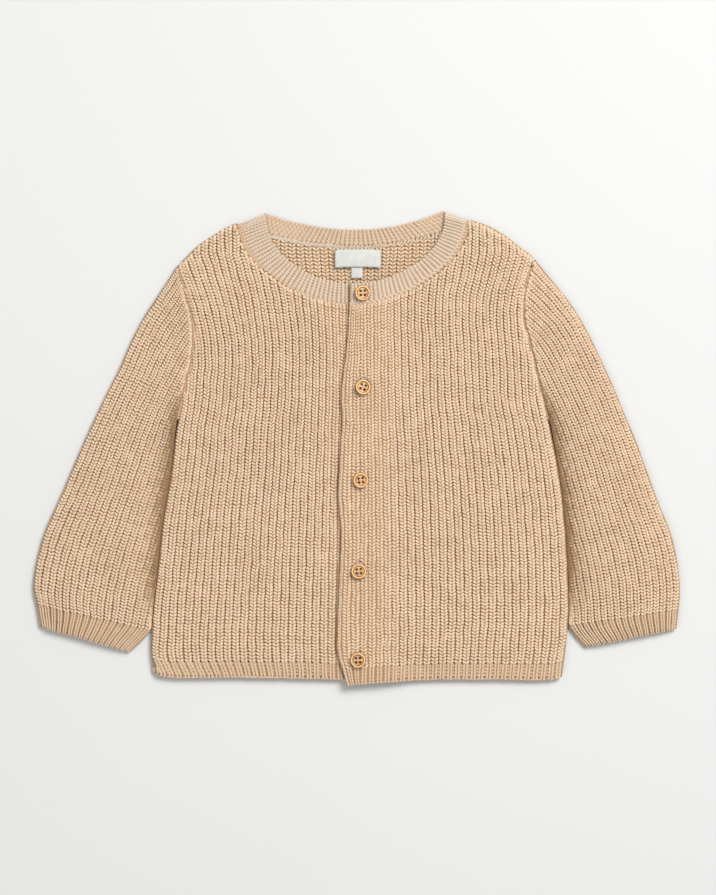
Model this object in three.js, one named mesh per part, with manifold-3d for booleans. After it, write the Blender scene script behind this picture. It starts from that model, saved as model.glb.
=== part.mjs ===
// Baby cardigan in chunky half-cardigan rib, buttoned and laid flat on a table.
// Millimetres. X runs across the chest, Y from the hem up to the neck, Z up from the table.
// "Left" and "right" are the wearer's own, so the left front is on the +X side.
// Every knitted piece is a wall between a ribbed upper face and a plain lower face.
import * as THREE from 'three';
import Module from 'manifold-3d';
import { mergeVertices } from 'three/addons/utils/BufferGeometryUtils.js';

const wasm = await Module();
wasm.setup();

// Cloth and seams
const WALL = 3.0; // thickness of the knit over its ribs
const AIR = 0.3; // between two layers of cloth
const LAYER = WALL + AIR; // height that one layer of cloth takes up
const RIB_DEPTH = 1.15; // depth of the grooves between body ribs
const HEM_RIB_DEPTH = 0.8; // depth of the grooves in the hem and cuffs
const BAND_RIB_DEPTH = 0.7; // depth of the grooves in the neckband and by the buttons
const HEM_THIN = 0.5; // how much thinner the hem ribbing is than the body
const EDGE_ROUND = 0.6; // how far a loose edge is rounded down
const FOLD_LIP = 0.45; // thickness left at the very edge of a fold
const SIDE_FOLD = 5.5; // how far in from the side a front curls down to its fold
const SHOULDER_FOLD = 4.5; // the same at the shoulder
const UNDER_FOLD = 4; // and for the lower layer, which curls up less
const SEAM_DIP = 1.1; // how far the cloth sinks where it is sewn to its neighbour
const SEAM_RUN = 2.2; // width of the cloth that sinks
const ARMHOLE_GAP = 0.75;
const SIDE_GAP = 0.7; // the sleeve lies this far from the side seam
const NECK_GAP = 0.4;
const NECK_CLEAR = 3.2; // room for the round fold of the neckband where it meets the shoulder

// Hem and front opening
const HEM_DEPTH = 11; // height of the hem ribbing
const EDGE_RIBS = 2.5; // ribs from the button line out to a front edge
const UNDERLAP = 12; // the right front reaches this far past the button line
const OVERLAP_END = 13; // the left front lies on the right front as far as here
const RAMP = 30; // and comes down to the back over this width

// Body widths on each side of the button line, and the ribs that lie across each half.
// Above the underarm, at y 180, ribs are lost into the armhole.
const BODY = [
  { y: -4, right: 132.5, left: 130.5, ribs: 26 },
  { y: 20, right: 135.9, left: 133.7, ribs: 26 },
  { y: 45, right: 134.5, left: 135.7, ribs: 26 },
  { y: 75, right: 131.3, left: 135.0, ribs: 26 },
  { y: 105, right: 128.0, left: 133.0, ribs: 26 },
  { y: 135, right: 123.0, left: 129.3, ribs: 26 },
  { y: 165, right: 119.3, left: 123.8, ribs: 26 },
  { y: 180, right: 116.4, left: 120.0, ribs: 26 },
  { y: 193, right: 113.0, left: 116.6, ribs: 25.5 },
  { y: 207, right: 109.6, left: 113.6, ribs: 25 },
  { y: 221, right: 108.2, left: 110.2, ribs: 24.5 },
  { y: 235, right: 109.0, left: 106.6, ribs: 24 },
  { y: 250, right: 112.4, left: 106.4, ribs: 23.8 },
  { y: 262, right: 116.2, left: 109.4, ribs: 23.6 },
  { y: 278, right: 121.5, left: 113.6, ribs: 23.4 },
];
const UNDERARM = 180;
const SHOULDER_POINT = 278;
const SEWN_OVER = 22; // height over which the side fold turns into the armhole seam
const NECK_RIBS = 23.4; // ribs that reach the shoulder and neck

// The edge of the left front, which waves in and out between the buttonholes.
const FRONT_EDGE = [
  { y: -4, x: -7.8 },
  { y: 8, x: -11.7 },
  { y: 20, x: -15.0 },
  { y: 60, x: -13.9 },
  { y: 97, x: -12.5 },
  { y: 122, x: -14.3 },
  { y: 157, x: -12.4 },
  { y: 170, x: -11.6 },
  { y: 187, x: -12.3 },
  { y: 213, x: -9.1 },
  { y: 235, x: -7.3 },
  { y: 262, x: -7.2 },
];

// Lower edge of each front, by distance out from the button line.
const HEM_LINE = [
  { out: -15, left: -3.6, right: 0.8 },
  { out: 3, left: -1.9, right: 0.8 },
  { out: 20, left: -0.8, right: 1.0 },
  { out: 40, left: 0.4, right: 1.5 },
  { out: 80, left: 0.8, right: 2.0 },
  { out: 122, left: 0.6, right: 2.0 },
  { out: 131, left: 2.4, right: 3.2 },
  { out: 137, left: 6.0, right: 7.0 },
];

// Shoulder fold, from the neckband out to the sleeve, by distance from the button line.
const SHOULDER = {
  right: [
    { out: 72, y: 300.2 },
    { out: 84.5, y: 296.4 },
    { out: 95.6, y: 289.9 },
    { out: 105.3, y: 283.4 },
    { out: 112, y: 276.9 },
    { out: 119, y: 269.8 },
    { out: 126, y: 262 },
  ],
  left: [
    { out: 64, y: 302.2 },
    { out: 82.6, y: 296.4 },
    { out: 94.3, y: 289.9 },
    { out: 102.7, y: 283.4 },
    { out: 111.2, y: 276.9 },
    { out: 118, y: 270 },
    { out: 125, y: 262 },
  ],
};

// Sleeve rows from the cuff up to the top of the sleeve cap. "out" and "y" are on the outer
// fold, "inY" is the height where the row meets the body, "away" is its distance from it
// there, "ribs" lie across the upper face and "air" is the empty height inside.
const SLEEVE = {
  right: [
    { out: 208.0, y: 35.1, inY: 18.9, away: 13.4, ribs: 17, air: 0.5 },
    { out: 210.4, y: 49.4, inY: 32.5, away: 0.3, ribs: 17, air: 1.0 },
    { out: 212.5, y: 61.1, inY: 44.2, away: 0, ribs: 16.6, air: 1.7 },
    { out: 210.0, y: 78.7, inY: 59.8, away: 0, ribs: 16.2, air: 2.3 },
    { out: 204.5, y: 98.2, inY: 78.7, away: 0, ribs: 15.6, air: 2.5 },
    { out: 195.7, y: 117.7, inY: 99.5, away: 0, ribs: 14.9, air: 2.4 },
    { out: 187.3, y: 137.2, inY: 120.3, away: 0, ribs: 14.2, air: 2.2 },
    { out: 178.3, y: 158.0, inY: 143.0, away: 0, ribs: 13.6, air: 2.0 },
    { out: 169.8, y: 176.2, inY: 159.3, away: 0, ribs: 12.9, air: 1.8 },
    { out: 162.8, y: 190.5, inY: 173.6, away: 0, ribs: 12.1, air: 1.6 },
    { out: 155.3, y: 205.4, inY: 187.9, away: 0, ribs: 11.2, air: 1.4 },
    { out: 148.6, y: 221.0, inY: 202.8, away: 0, ribs: 10.3, air: 1.2 },
    { out: 139.8, y: 237.9, inY: 218.4, away: 0, ribs: 8.8, air: 1.0 },
    { out: 131.3, y: 250.9, inY: 233.4, away: 0, ribs: 6.7, air: 0.8 },
    { out: 125.0, y: 260.5, inY: 248.3, away: 0, ribs: 4.2, air: 0.6 },
    { out: 120.6, y: 267.4, inY: 262.5, away: 0, ribs: 1.2, air: 0.4 },
  ],
  left: [
    { out: 206.0, y: 33.8, inY: 22.1, away: 12.5, ribs: 17, air: 0.5 },
    { out: 207.4, y: 46.2, inY: 35.4, away: 0.6, ribs: 17, air: 1.0 },
    { out: 208.3, y: 59.2, inY: 48.0, away: 0, ribs: 16.6, air: 1.7 },
    { out: 206.7, y: 76.7, inY: 62.4, away: 0, ribs: 16.2, air: 2.3 },
    { out: 202.2, y: 96.2, inY: 79.3, away: 0, ribs: 15.6, air: 2.5 },
    { out: 194.3, y: 115.7, inY: 97.8, away: 0, ribs: 14.9, air: 2.4 },
    { out: 186.5, y: 137.2, inY: 119.9, away: 0, ribs: 14.2, air: 2.2 },
    { out: 179.4, y: 156.7, inY: 141.0, away: 0, ribs: 13.6, air: 2.0 },
    { out: 171.6, y: 174.9, inY: 158.6, away: 0, ribs: 12.9, air: 1.8 },
    { out: 164.5, y: 192.4, inY: 175.5, away: 0, ribs: 12.1, air: 1.6 },
    { out: 157.3, y: 208.0, inY: 191.1, away: 0, ribs: 11.2, air: 1.4 },
    { out: 149.5, y: 224.3, inY: 206.1, away: 0, ribs: 10.3, air: 1.2 },
    { out: 140.4, y: 240.5, inY: 220.4, away: 0, ribs: 8.8, air: 1.0 },
    { out: 130.7, y: 253.5, inY: 234.7, away: 0, ribs: 6.7, air: 0.8 },
    { out: 122.4, y: 263.7, inY: 249.6, away: 0, ribs: 4.2, air: 0.6 },
    { out: 116.2, y: 271.2, inY: 266.0, away: 0, ribs: 1.2, air: 0.4 },
  ],
};
const CUFF_ROW = 1; // the sleeve row where the cuff ribbing ends
const UNDERARM_ROW = 8.5; // rows above this one are sewn into the armhole

// Neckband: quarter curves from the centre front up to the fold at each side of the neck.
const NECK = {
  x: -4,
  roundness: { seam: 1.75, free: 1.9 },
  seam: { low: 245.4, right: { x: -76.2, y: 295.8 }, left: { x: 68.0, y: 298.2 } },
  free: { low: 258.2, right: { x: -61.9, y: 301.3 }, left: { x: 55.3, y: 301.9 } },
  backSeam: 283.7, // height at the centre back
  backFree: 293.5,
  backCorner: { right: { x: -62.4, y: 303.8 }, left: { x: 54.4, y: 305.3 } }, // its free edge
  frontRibs: 35, // from the centre front to the fold
  backRibs: 46,
};

// Buttons, up the button line, and the two blank tapes sewn inside the back neck.
const BUTTONS = [
  { x: -1.2, y: 13.8, turn: 2 },
  { x: -0.7, y: 71.5, turn: 4 },
  { x: 0.4, y: 130.5, turn: 8 },
  { x: 1.7, y: 191.0, turn: -18 },
  { x: 1.7, y: 252.2, turn: 3 },
];
const BUTTON = { radius: 5, thick: 2.6, rim: 1.1, dish: 0.7, hole: 0.65, spacing: 1.28 };
const LABEL = { x: -1.4, y: 275, wide: 29.8, tall: 11.6, thick: 0.8 };
const SIZE_TAG = { x: -2, y: 268, wide: 7.4, tall: 12, thick: 0.8 };

// Smooth steps and curves through the tables

const clamp = THREE.MathUtils.clamp;

function ease(low, high, at) {
  return THREE.MathUtils.smoothstep(at, low, high);
}

// The value of one column of a table at a place, on a smooth curve through its rows.
function read(table, by, column, at) {
  const last = table.length - 1;
  const place = clamp(at, table[0][by], table[last][by]);
  let row = 0;
  while (row < last - 1 && place > table[row + 1][by]) row += 1;
  const slope = (i) => {
    const a = table[Math.max(i - 1, 0)];
    const b = table[Math.min(i + 1, last)];
    return (b[column] - a[column]) / (b[by] - a[by]);
  };
  const step = table[row + 1][by] - table[row][by];
  const t = (place - table[row][by]) / step;
  const from = table[row][column];
  const to = table[row + 1][column];
  const bendA = slope(row) * step;
  const bendB = slope(row + 1) * step;
  return from * (1 + 2 * t) * (1 - t) ** 2 + to * (3 - 2 * t) * t ** 2
    + bendA * t * (1 - t) ** 2 - bendB * (1 - t) * t ** 2;
}

// Where a quantity that only falls or only rises along a stretch reaches a value.
function reach(quantity, value, from, to) {
  const rising = quantity(to) > quantity(from);
  let [a, b] = [from, to];
  for (let i = 0; i < 40; i += 1) {
    const middle = (a + b) / 2;
    if ((quantity(middle) < value) === rising) a = middle;
    else b = middle;
  }
  return (a + b) / 2;
}

// 0 in a groove between two ribs, 1 on the crest.
function crest(rib) {
  return 1 - Math.abs(2 * (rib - Math.floor(rib)) - 1);
}

// Height above the lower face of an edge that is rounded over within a width: 0 to 1.
function rounded(distance, width) {
  const inside = 1 - clamp(distance / width, 0, 1);
  return Math.sqrt(1 - inside * inside);
}

// Building closed walls

class Skin {
  constructor() {
    this.points = [];
    this.faces = [];
  }

  grid(columns) {
    return columns.map((column) => column.map((p) => this.points.push(p) - 1));
  }

  surface(grid, up) {
    for (let c = 0; c + 1 < grid.length; c += 1) {
      for (let r = 0; r + 1 < grid[c].length; r += 1) {
        const [a, b, d, e] = [grid[c][r], grid[c + 1][r], grid[c][r + 1], grid[c + 1][r + 1]];
        this.face(a, b, e, up);
        this.face(a, e, d, up);
      }
    }
  }

  face(a, b, c, up) {
    this.faces.push(up ? [a, b, c] : [a, c, b]);
  }

  // A strip of triangles between two lines that start and end together. Each step goes on
  // along the line whose next point is nearer to where the other line has got to.
  wall(top, bottom) {
    const apart = (a, b) => {
      const [p, q] = [this.points[a], this.points[b]];
      return Math.hypot(p.x - q.x, p.y - q.y);
    };
    let [i, j] = [0, 0];
    while (i + 1 < top.length || j + 1 < bottom.length) {
      const topEnds = i + 1 >= top.length;
      const bottomEnds = j + 1 >= bottom.length;
      const paired = top.length === bottom.length;
      const nearer = paired ? i <= j
        : !topEnds && !bottomEnds && apart(top[i + 1], bottom[j]) <= apart(top[i], bottom[j + 1]);
      const alongTop = !topEnds && (bottomEnds || nearer);
      if (alongTop) {
        this.faces.push([top[i], bottom[j], top[i + 1]]);
        i += 1;
      } else {
        this.faces.push([top[i], bottom[j], bottom[j + 1]]);
        j += 1;
      }
    }
  }

  solid() {
    const geometry = new THREE.BufferGeometry();
    geometry.setAttribute('position', new THREE.Float32BufferAttribute(
      this.points.flatMap((p) => [p.x, p.y, p.z]), 3));
    geometry.setIndex(this.faces.flat());
    return geometry;
  }
}

// A closed wall between an upper and a lower grid of points with the same outline.
// Columns run across, to the right as seen with rows going up.
function wallBetween(upper, lower) {
  const skin = new Skin();
  const top = skin.grid(upper);
  const base = skin.grid(lower);
  skin.surface(top, true);
  skin.surface(base, false);
  const firstRow = (grid) => grid.map((column) => column[0]);
  const lastRow = (grid) => grid.map((column) => column[column.length - 1]);
  skin.wall(firstRow(top), firstRow(base));
  skin.wall(lastRow(top).reverse(), lastRow(base).reverse());
  skin.wall([...top[0]].reverse(), [...base[0]].reverse());
  skin.wall(top[top.length - 1], base[base.length - 1]);
  return skin.solid();
}

function toManifold(geometry) {
  const bare = geometry.clone();
  for (const name of Object.keys(bare.attributes)) {
    if (name !== 'position') bare.deleteAttribute(name);
  }
  const merged = mergeVertices(bare, 1e-4);
  return new wasm.Manifold(new wasm.Mesh({
    numProp: 3,
    vertProperties: new Float32Array(merged.attributes.position.array),
    triVerts: new Uint32Array(merged.index.array),
  }));
}

function fromManifold(solid) {
  const mesh = solid.getMesh();
  const geometry = new THREE.BufferGeometry();
  geometry.setAttribute('position', new THREE.BufferAttribute(mesh.vertProperties, 3));
  geometry.setIndex(new THREE.BufferAttribute(mesh.triVerts, 1));
  return geometry;
}

function piece(name, geometry, material) {
  const flat = geometry.index ? geometry.toNonIndexed() : geometry;
  flat.computeVertexNormals();
  const mesh = new THREE.Mesh(flat, material);
  mesh.name = name;
  return mesh;
}

// The body in plan

const SIGN = { left: 1, right: -1 };

function ribsAt(y) {
  return read(BODY, 'y', 'ribs', y);
}

function halfWidth(side, y) {
  return read(BODY, 'y', side, y);
}

// Distance out from the button line of rib line number "rib" at a height.
function ribOut(side, rib, y) {
  if (rib >= 0) return halfWidth(side, y) * (rib / ribsAt(y));
  const edge = side === 'left' ? read(FRONT_EDGE, 'y', 'x', y) : -UNDERLAP;
  return edge * (rib / -EDGE_RIBS);
}

// A quarter curve of the neck, by angle: 0 at the centre front, a right angle at the fold.
function neckCurve(line, side, angle) {
  const { low, [side]: top } = NECK[line];
  const power = 2 / NECK.roundness[line];
  const x = NECK.x + (top.x - NECK.x) * Math.sin(angle) ** power;
  return new THREE.Vector2(x, top.y - (top.y - low) * Math.cos(angle) ** power);
}

// How far the neckline opening reaches to one side, past the round of the band's fold.
function neckReach(side) {
  return Math.abs(NECK.seam[side].x - NECK.x) + NECK_CLEAR;
}

// Height of the neckline at a place across the front, along the seam or the free edge.
function neckHeight(line, x, clear) {
  const side = x < NECK.x ? 'right' : 'left';
  const { low, [side]: top } = NECK[line];
  const share = clamp(Math.abs(x - NECK.x) / (Math.abs(top.x - NECK.x) + clear), 0, 1);
  const power = NECK.roundness[line];
  return top.y - (top.y - low) * (1 - share ** power) ** (1 / power);
}

function acrossNeck(x) {
  return Math.abs(x - NECK.x) < neckReach(x < NECK.x ? 'right' : 'left');
}

// The top end of a rib line, and what it runs into there.
function ribTop(side, rib, necklineAt) {
  if (rib > NECK_RIBS) return { top: reach(ribsAt, rib, UNDERARM, SHOULDER_POINT), into: 'armhole' };
  let top = SHOULDER_POINT;
  for (let i = 0; i < 30; i += 1) {
    const out = ribOut(side, rib, top);
    const x = out * SIGN[side];
    top = acrossNeck(x) ? necklineAt(x) - NECK_GAP : read(SHOULDER[side], 'out', 'y', out);
  }
  const into = acrossNeck(ribOut(side, rib, top) * SIGN[side]) ? 'neck' : 'shoulder';
  return { top, into };
}

function ribBottom(side, rib) {
  let y = 0;
  for (let i = 0; i < 8; i += 1) y = read(HEM_LINE, 'out', side, ribOut(side, rib, y));
  return y;
}

function frontEnds(side, rib) {
  const neckline = (x) => neckHeight('seam', x, NECK_CLEAR);
  return { ...ribTop(side, rib, neckline), bottom: ribBottom(side, rib) };
}

// Heights up a rib line between its hem and its top. The lower ones are level with those of
// the next rib; the upper ones close in, where the armhole and neckline curve.
function climb(from, to) {
  const knee = Math.min(CHEST, to - 16);
  const lower = [0.24, 0.48, 0.7, 0.88, 1].map((share) => from + (knee - from) * share);
  const upper = [0.42, 0.76].map((share) => knee + (to - knee) * share);
  return [...lower, ...upper];
}

// Heights along a rib line of a front: hem, body and the last few millimetres.
function frontRows({ bottom, top }) {
  const hem = [0, 0.8, HEM_DEPTH, HEM_DEPTH + 1.5].map((step) => bottom + step);
  return [...hem, ...climb(bottom + HEM_DEPTH + 1.5, top - 3.6), top - 3.6, top - 0.9, top];
}

function frontRowsInside({ bottom, top }) {
  return [bottom, ...climb(bottom, top - 3.6), top - 3.6, top];
}

// How high a front lies. The left one passes over the right one by the buttons.
function liftOf(side, out) {
  if (side === 'right') return LAYER;
  return LAYER + LAYER * (1 - ease(OVERLAP_END, OVERLAP_END + RAMP, out));
}

function frontPoint(side, rib, y) {
  const out = ribOut(side, rib, y);
  return new THREE.Vector3(out * SIGN[side], y, liftOf(side, out));
}

// How much of the side fold has turned into the armhole seam at a height: 0 to 1.
function sewnAt(y) {
  return ease(UNDERARM - SEWN_OVER, UNDERARM, y);
}

function seamDip(distance) {
  return SEAM_DIP * (1 - clamp(distance / SEAM_RUN, 0, 1));
}

// The ribbed outer face of a front.
function frontFace(side, rib, y, ends) {
  const point = frontPoint(side, rib, y);
  const out = point.x * SIGN[side];
  const inHem = y < ends.bottom + HEM_DEPTH + 0.1;
  const body = THREE.MathUtils.lerp(
    BAND_RIB_DEPTH, RIB_DEPTH, ease(UNDERLAP, OVERLAP_END + RAMP / 2, out));
  const full = WALL - (1 - crest(rib)) * (inHem ? HEM_RIB_DEPTH : body);
  const loose = rib === -EDGE_RIBS || y === ends.bottom;
  let height = full - (inHem ? HEM_THIN : 0) - (loose ? EDGE_ROUND : 0);

  const toSide = halfWidth(side, y) - out;
  const folded = FOLD_LIP + (height - FOLD_LIP) * rounded(toSide, SIDE_FOLD);
  height = THREE.MathUtils.lerp(folded, height - seamDip(toSide), sewnAt(y));

  const toTop = ends.top - y;
  if (ends.into === 'shoulder') {
    height = FOLD_LIP + (height - FOLD_LIP) * rounded(toTop, SHOULDER_FOLD);
  } else if (ends.into === 'neck') {
    height -= seamDip(toTop);
  }
  point.z += Math.max(height, FOLD_LIP);
  return point;
}

// Rib lines that end on the armhole, close together where it runs along the ribs.
const ARMHOLE_LINES = [NECK_RIBS, 23.5, 23.6, 23.7, 23.8, 23.9, 24, 24.25, 24.5, 24.75, 25,
  25.25, 25.5, 25.8, 26];

// Rib lines of a front: a groove and a crest for each rib, then those at the armhole.
function frontLines() {
  const lines = [];
  for (let rib = -EDGE_RIBS; rib <= 23; rib += 0.5) lines.push(rib);
  return [...lines, ...ARMHOLE_LINES];
}

function front(side) {
  const lines = frontLines().map((rib) => ({ rib, ends: frontEnds(side, rib) }));
  const upper = lines.map(({ rib, ends }) => frontRows(ends)
    .map((y) => frontFace(side, rib, y, ends)));
  const lower = lines
    .filter(({ rib }, i) => i % 4 === 0 || (rib > 9 && rib < 17.5) || rib > 22.5)
    .map(({ rib, ends }) => frontRowsInside(ends).map((y) => frontPoint(side, rib, y)));
  if (side === 'right') return wallBetween(upper.reverse(), lower.reverse());
  return wallBetween(upper, lower);
}

// The back

const CHEST = 229;
const WINDOW = { y: 236, ribs: 13 }; // the inside of the back shows in the neck from here

function backNeckline(x) {
  const side = x < NECK.x ? 'right' : 'left';
  const share = (x - NECK.x) / neckReach(side);
  return NECK.backSeam + (NECK.seam[side].y - NECK.backSeam) * share * share;
}

function backEnds(side, rib) {
  return { ...ribTop(side, rib, backNeckline), bottom: Math.max(ribBottom(side, rib), 1) };
}

function backRows({ bottom, top }) {
  return [bottom, ...climb(bottom, top - 3.5), top - 3.5, top - 1.2, top];
}

// The inside of the back: ribbed where it shows in the neck, and plain under the fronts.
function backFace(side, rib, y, ends) {
  const out = ribOut(side, rib, y);
  const shows = rib < WINDOW.ribs ? ease(WINDOW.y, WINDOW.y + 8, y) * ease(0, SEAM_RUN, ends.top - y) : 0;
  return new THREE.Vector3(out * SIGN[side], y, WALL - (1 - crest(rib)) * RIB_DEPTH * shows);
}

// The outside of the back rests flat, and curls up to the folds at the sides and shoulders.
function backUnder(side, rib, y, ends) {
  const out = ribOut(side, rib, y);
  const sideCurl = (1 - rounded(halfWidth(side, y) - out, UNDER_FOLD)) * (1 - sewnAt(y));
  const topCurl = ends.into === 'shoulder' ? 1 - rounded(ends.top - y, UNDER_FOLD) : 0;
  const z = (WALL - FOLD_LIP) * Math.max(sideCurl, topCurl);
  return new THREE.Vector3(out * SIGN[side], y, z);
}

function backPanel() {
  const half = [];
  for (let rib = 0.5; rib <= WINDOW.ribs; rib += 0.5) half.push(rib);
  half.push(14, 15, 15.5, 16, 16.5, 17, 18, 20, 22, 23, ...ARMHOLE_LINES);
  const lines = [
    ...half.map((rib) => ({ side: 'right', rib })).reverse(),
    { side: 'left', rib: 0 },
    ...half.map((rib) => ({ side: 'left', rib })),
  ].map(({ side, rib }) => ({ side, rib, ends: backEnds(side, rib) }));
  const upper = lines.map(({ side, rib, ends }) => backRows(ends)
    .map((y) => backFace(side, rib, y, ends)));
  const lower = lines
    .filter(({ rib }, i) => rib > 23 || i % 4 === 0)
    .map(({ side, rib, ends }) => backRows(ends).map((y) => backUnder(side, rib, y, ends)));
  return wallBetween(upper, lower);
}

// Sleeves: flat tubes, open at the cuff and into the armhole

const CAP_ROW = 15; // the row at the top of the sleeve cap
const SLEEVE_STEPS = 9; // from the cuff up to where a rib line nears its end
const OUTER_CURL = 8; // how far in from the outer fold the sleeve reaches its full height
const INNER_CURL = 9; // the same from the fold beside the body
const SEAM_CURL = 5; // and from the armhole seam, where it starts at SEAM_HEIGHT
const SEAM_HEIGHT = 0.62;

// A row across the sleeve, from its outer fold to the body. "t" counts rows of the table.
function sleeveRow(side, t) {
  const table = SLEEVE[side].map((row, i) => ({ ...row, i }));
  const [out, y, inY, away, ribs, air] = ['out', 'y', 'inY', 'away', 'ribs', 'air']
    .map((column) => read(table, 'i', column, t));
  const gap = THREE.MathUtils.lerp(SIDE_GAP, ARMHOLE_GAP, sewnRow(t));
  return {
    outer: new THREE.Vector2(out, y),
    inner: new THREE.Vector2(halfWidth(side, inY) + gap + Math.max(away, 0), inY),
    ribs,
    air,
  };
}

// 0 where the sleeve's inner edge is a fold, 1 where it is sewn into the armhole.
function sewnRow(t) {
  return ease(UNDERARM_ROW - 2, UNDERARM_ROW + 0.5, t);
}

function sleevePoint(side, rib, t) {
  const row = sleeveRow(side, t);
  const share = clamp(rib / row.ribs, 0, 1);
  const length = row.outer.distanceTo(row.inner);
  const at = row.outer.clone().lerp(row.inner, share);
  return { row, at, toOuter: share * length, toInner: (1 - share) * length };
}

// Where a rib line ends: at the cap, or on the body where the sleeve narrows past it.
function sleeveEnd(side, rib) {
  const ribs = (t) => sleeveRow(side, t).ribs;
  if (rib <= ribs(CAP_ROW)) return CAP_ROW;
  return reach(ribs, rib, CUFF_ROW, CAP_ROW);
}

// The ribbed upper face, which swells up from the fold line at LAYER height.
function sleeveFace(side, rib, t) {
  const { row, at, toOuter, toInner } = sleevePoint(side, rib, t);
  const sewn = sewnRow(t);
  const inCuff = t <= CUFF_ROW;
  const groove = (1 - crest(rib)) * (inCuff ? HEM_RIB_DEPTH : RIB_DEPTH);
  const edge = (inCuff ? HEM_THIN : 0) + (t === 0 ? EDGE_ROUND : 0);
  const hollow = row.air * ease(2, 22, toOuter)
    * THREE.MathUtils.lerp(ease(2, 20, toInner), 1, sewn);
  const full = LAYER + WALL + hollow - groove - edge;
  const bySeam = SEAM_HEIGHT + (1 - SEAM_HEIGHT) * rounded(toInner, SEAM_CURL);
  const inner = THREE.MathUtils.lerp(rounded(toInner, INNER_CURL), bySeam, sewn);
  const z = LAYER + (full - LAYER) * rounded(toOuter, OUTER_CURL) * inner;
  return new THREE.Vector3(at.x * SIGN[side], at.y, z);
}

// The lower face rests flat, and curls up to the fold line.
function sleeveUnder(side, rib, t) {
  const { at, toOuter, toInner } = sleevePoint(side, rib, t);
  const toFold = Math.min(toOuter, toInner + sewnRow(t) * UNDER_FOLD);
  const z = LAYER * (1 - rounded(toFold, UNDER_FOLD));
  return new THREE.Vector3(at.x * SIGN[side], at.y, z);
}

function sleeveSteps(side, rib) {
  const end = sleeveEnd(side, rib);
  const short = end < 2;
  const cuff = short ? [0, 0.06, 0.3, 0.4] : [0, 0.06, CUFF_ROW, CUFF_ROW + 0.12];
  const start = cuff[cuff.length - 1];
  const stop = short ? end - 0.1 : end - 0.35;
  const steps = [];
  for (let i = 1; i <= SLEEVE_STEPS; i += 1) {
    steps.push(start + ((stop - start) * i) / SLEEVE_STEPS);
  }
  return [...cuff, ...steps, end - (end - stop) * 0.3, end];
}

function sleeveShell(side) {
  const lines = [0, 0.18];
  for (let rib = 0.5; rib <= SLEEVE[side][0].ribs; rib += 0.5) lines.push(rib);
  const upper = lines.map((rib) => sleeveSteps(side, rib)
    .map((t) => sleeveFace(side, rib, t)));
  const lower = lines.map((rib) => sleeveSteps(side, rib)
    .filter((t, i) => i % 2 === 0)
    .map((t) => sleeveUnder(side, rib, t)));
  if (side === 'left') return wallBetween(upper.reverse(), lower.reverse());
  return wallBetween(upper, lower);
}

// The empty inside, run on past the cuff and past the armhole. It stays inside the folds.
const HOLLOW = {
  rows: [-0.3, 0.33, 1.07, 2.1, 3.55, 5.05, 6.53, 8.03, 9.57, 11.07, 12.53, 14.03],
  shares: [0, 0.15, 0.4, 0.7, 1],
  fromFold: 5,
  past: 4, // how far it runs on past the armhole
  pastCuff: 6,
};

function sleeveHollow(side) {
  const column = (share) => HOLLOW.rows.map((t) => {
    const row = sleeveRow(side, Math.max(t, 0));
    const along = row.inner.clone().sub(row.outer);
    const length = along.length();
    const sewn = ease(UNDERARM_ROW - 0.5, UNDERARM_ROW + 0.5, t);
    const from = Math.min(HOLLOW.fromFold, length * 0.4) / length;
    const to = 1 + THREE.MathUtils.lerp(-HOLLOW.fromFold, HOLLOW.past, sewn) / length;
    const at = row.outer.clone().addScaledVector(along, from + (to - from) * share);
    if (t < 0) at.y -= HOLLOW.pastCuff;
    const swell = Math.sin(Math.PI * Math.min(share, sewn > 0.5 ? 0.5 : 1));
    return { at, air: AIR + row.air * swell * 0.9 };
  });
  const grid = (height) => HOLLOW.shares.map((share) => column(share)
    .map(({ at, air }) => new THREE.Vector3(at.x * SIGN[side], at.y, height(air))));
  const upper = grid((air) => WALL + air);
  const lower = grid(() => WALL);
  if (side === 'left') return wallBetween(upper.reverse(), lower.reverse());
  return wallBetween(upper, lower);
}

function sleeve(side) {
  return fromManifold(toManifold(sleeveShell(side)).subtract(toManifold(sleeveHollow(side))));
}

// Neckband: one strip from the hidden right end, round the neck, to the left end on top

const BAND_WALL = 2.85;
const BAND_EDGE = 0.9; // how far its two long edges are rounded down
const END_PITCH = 2.2; // rib pitch of the band where its ends lap over each other
const BAND_ENDS = { right: -5.5, left: -1.2 }; // ribs past the centre front
const FOLD_TURNS = [0.06, 0.3, 0.5, 0.7, 0.94]; // shares of the half turn over the shoulder
const FOLD_HEIGHT = WALL + AIR / 2;
const RIB_STEP = 0.5;

// Places along the strip: along a front, over a shoulder fold, or along the back.
function bandStations() {
  const stations = [];
  for (let rib = BAND_ENDS.right; rib < NECK.frontRibs; rib += RIB_STEP) {
    stations.push({ part: 'front', side: 'right', rib });
  }
  FOLD_TURNS.forEach((turn) => stations.push({ part: 'fold', side: 'right', turn }));
  for (let rib = 0; rib <= NECK.backRibs; rib += RIB_STEP) stations.push({ part: 'back', rib });
  FOLD_TURNS.forEach((turn) => stations.push({ part: 'fold', side: 'left', turn: 1 - turn }));
  for (let rib = NECK.frontRibs - RIB_STEP; rib > BAND_ENDS.left; rib -= RIB_STEP) {
    stations.push({ part: 'front', side: 'left', rib });
  }
  stations.push({ part: 'front', side: 'left', rib: BAND_ENDS.left });
  return stations;
}

function backCurve(line, share) {
  const { right: from, left: to } = line === 'seam' ? NECK.seam : NECK.backCorner;
  const middle = line === 'seam' ? NECK.backSeam : NECK.backFree;
  const x = THREE.MathUtils.lerp(from.x, to.x, share);
  const off = 2 * share - 1;
  const ends = THREE.MathUtils.lerp(from.y, to.y, share);
  return new THREE.Vector2(x, middle + (ends - middle) * off * off);
}

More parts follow.
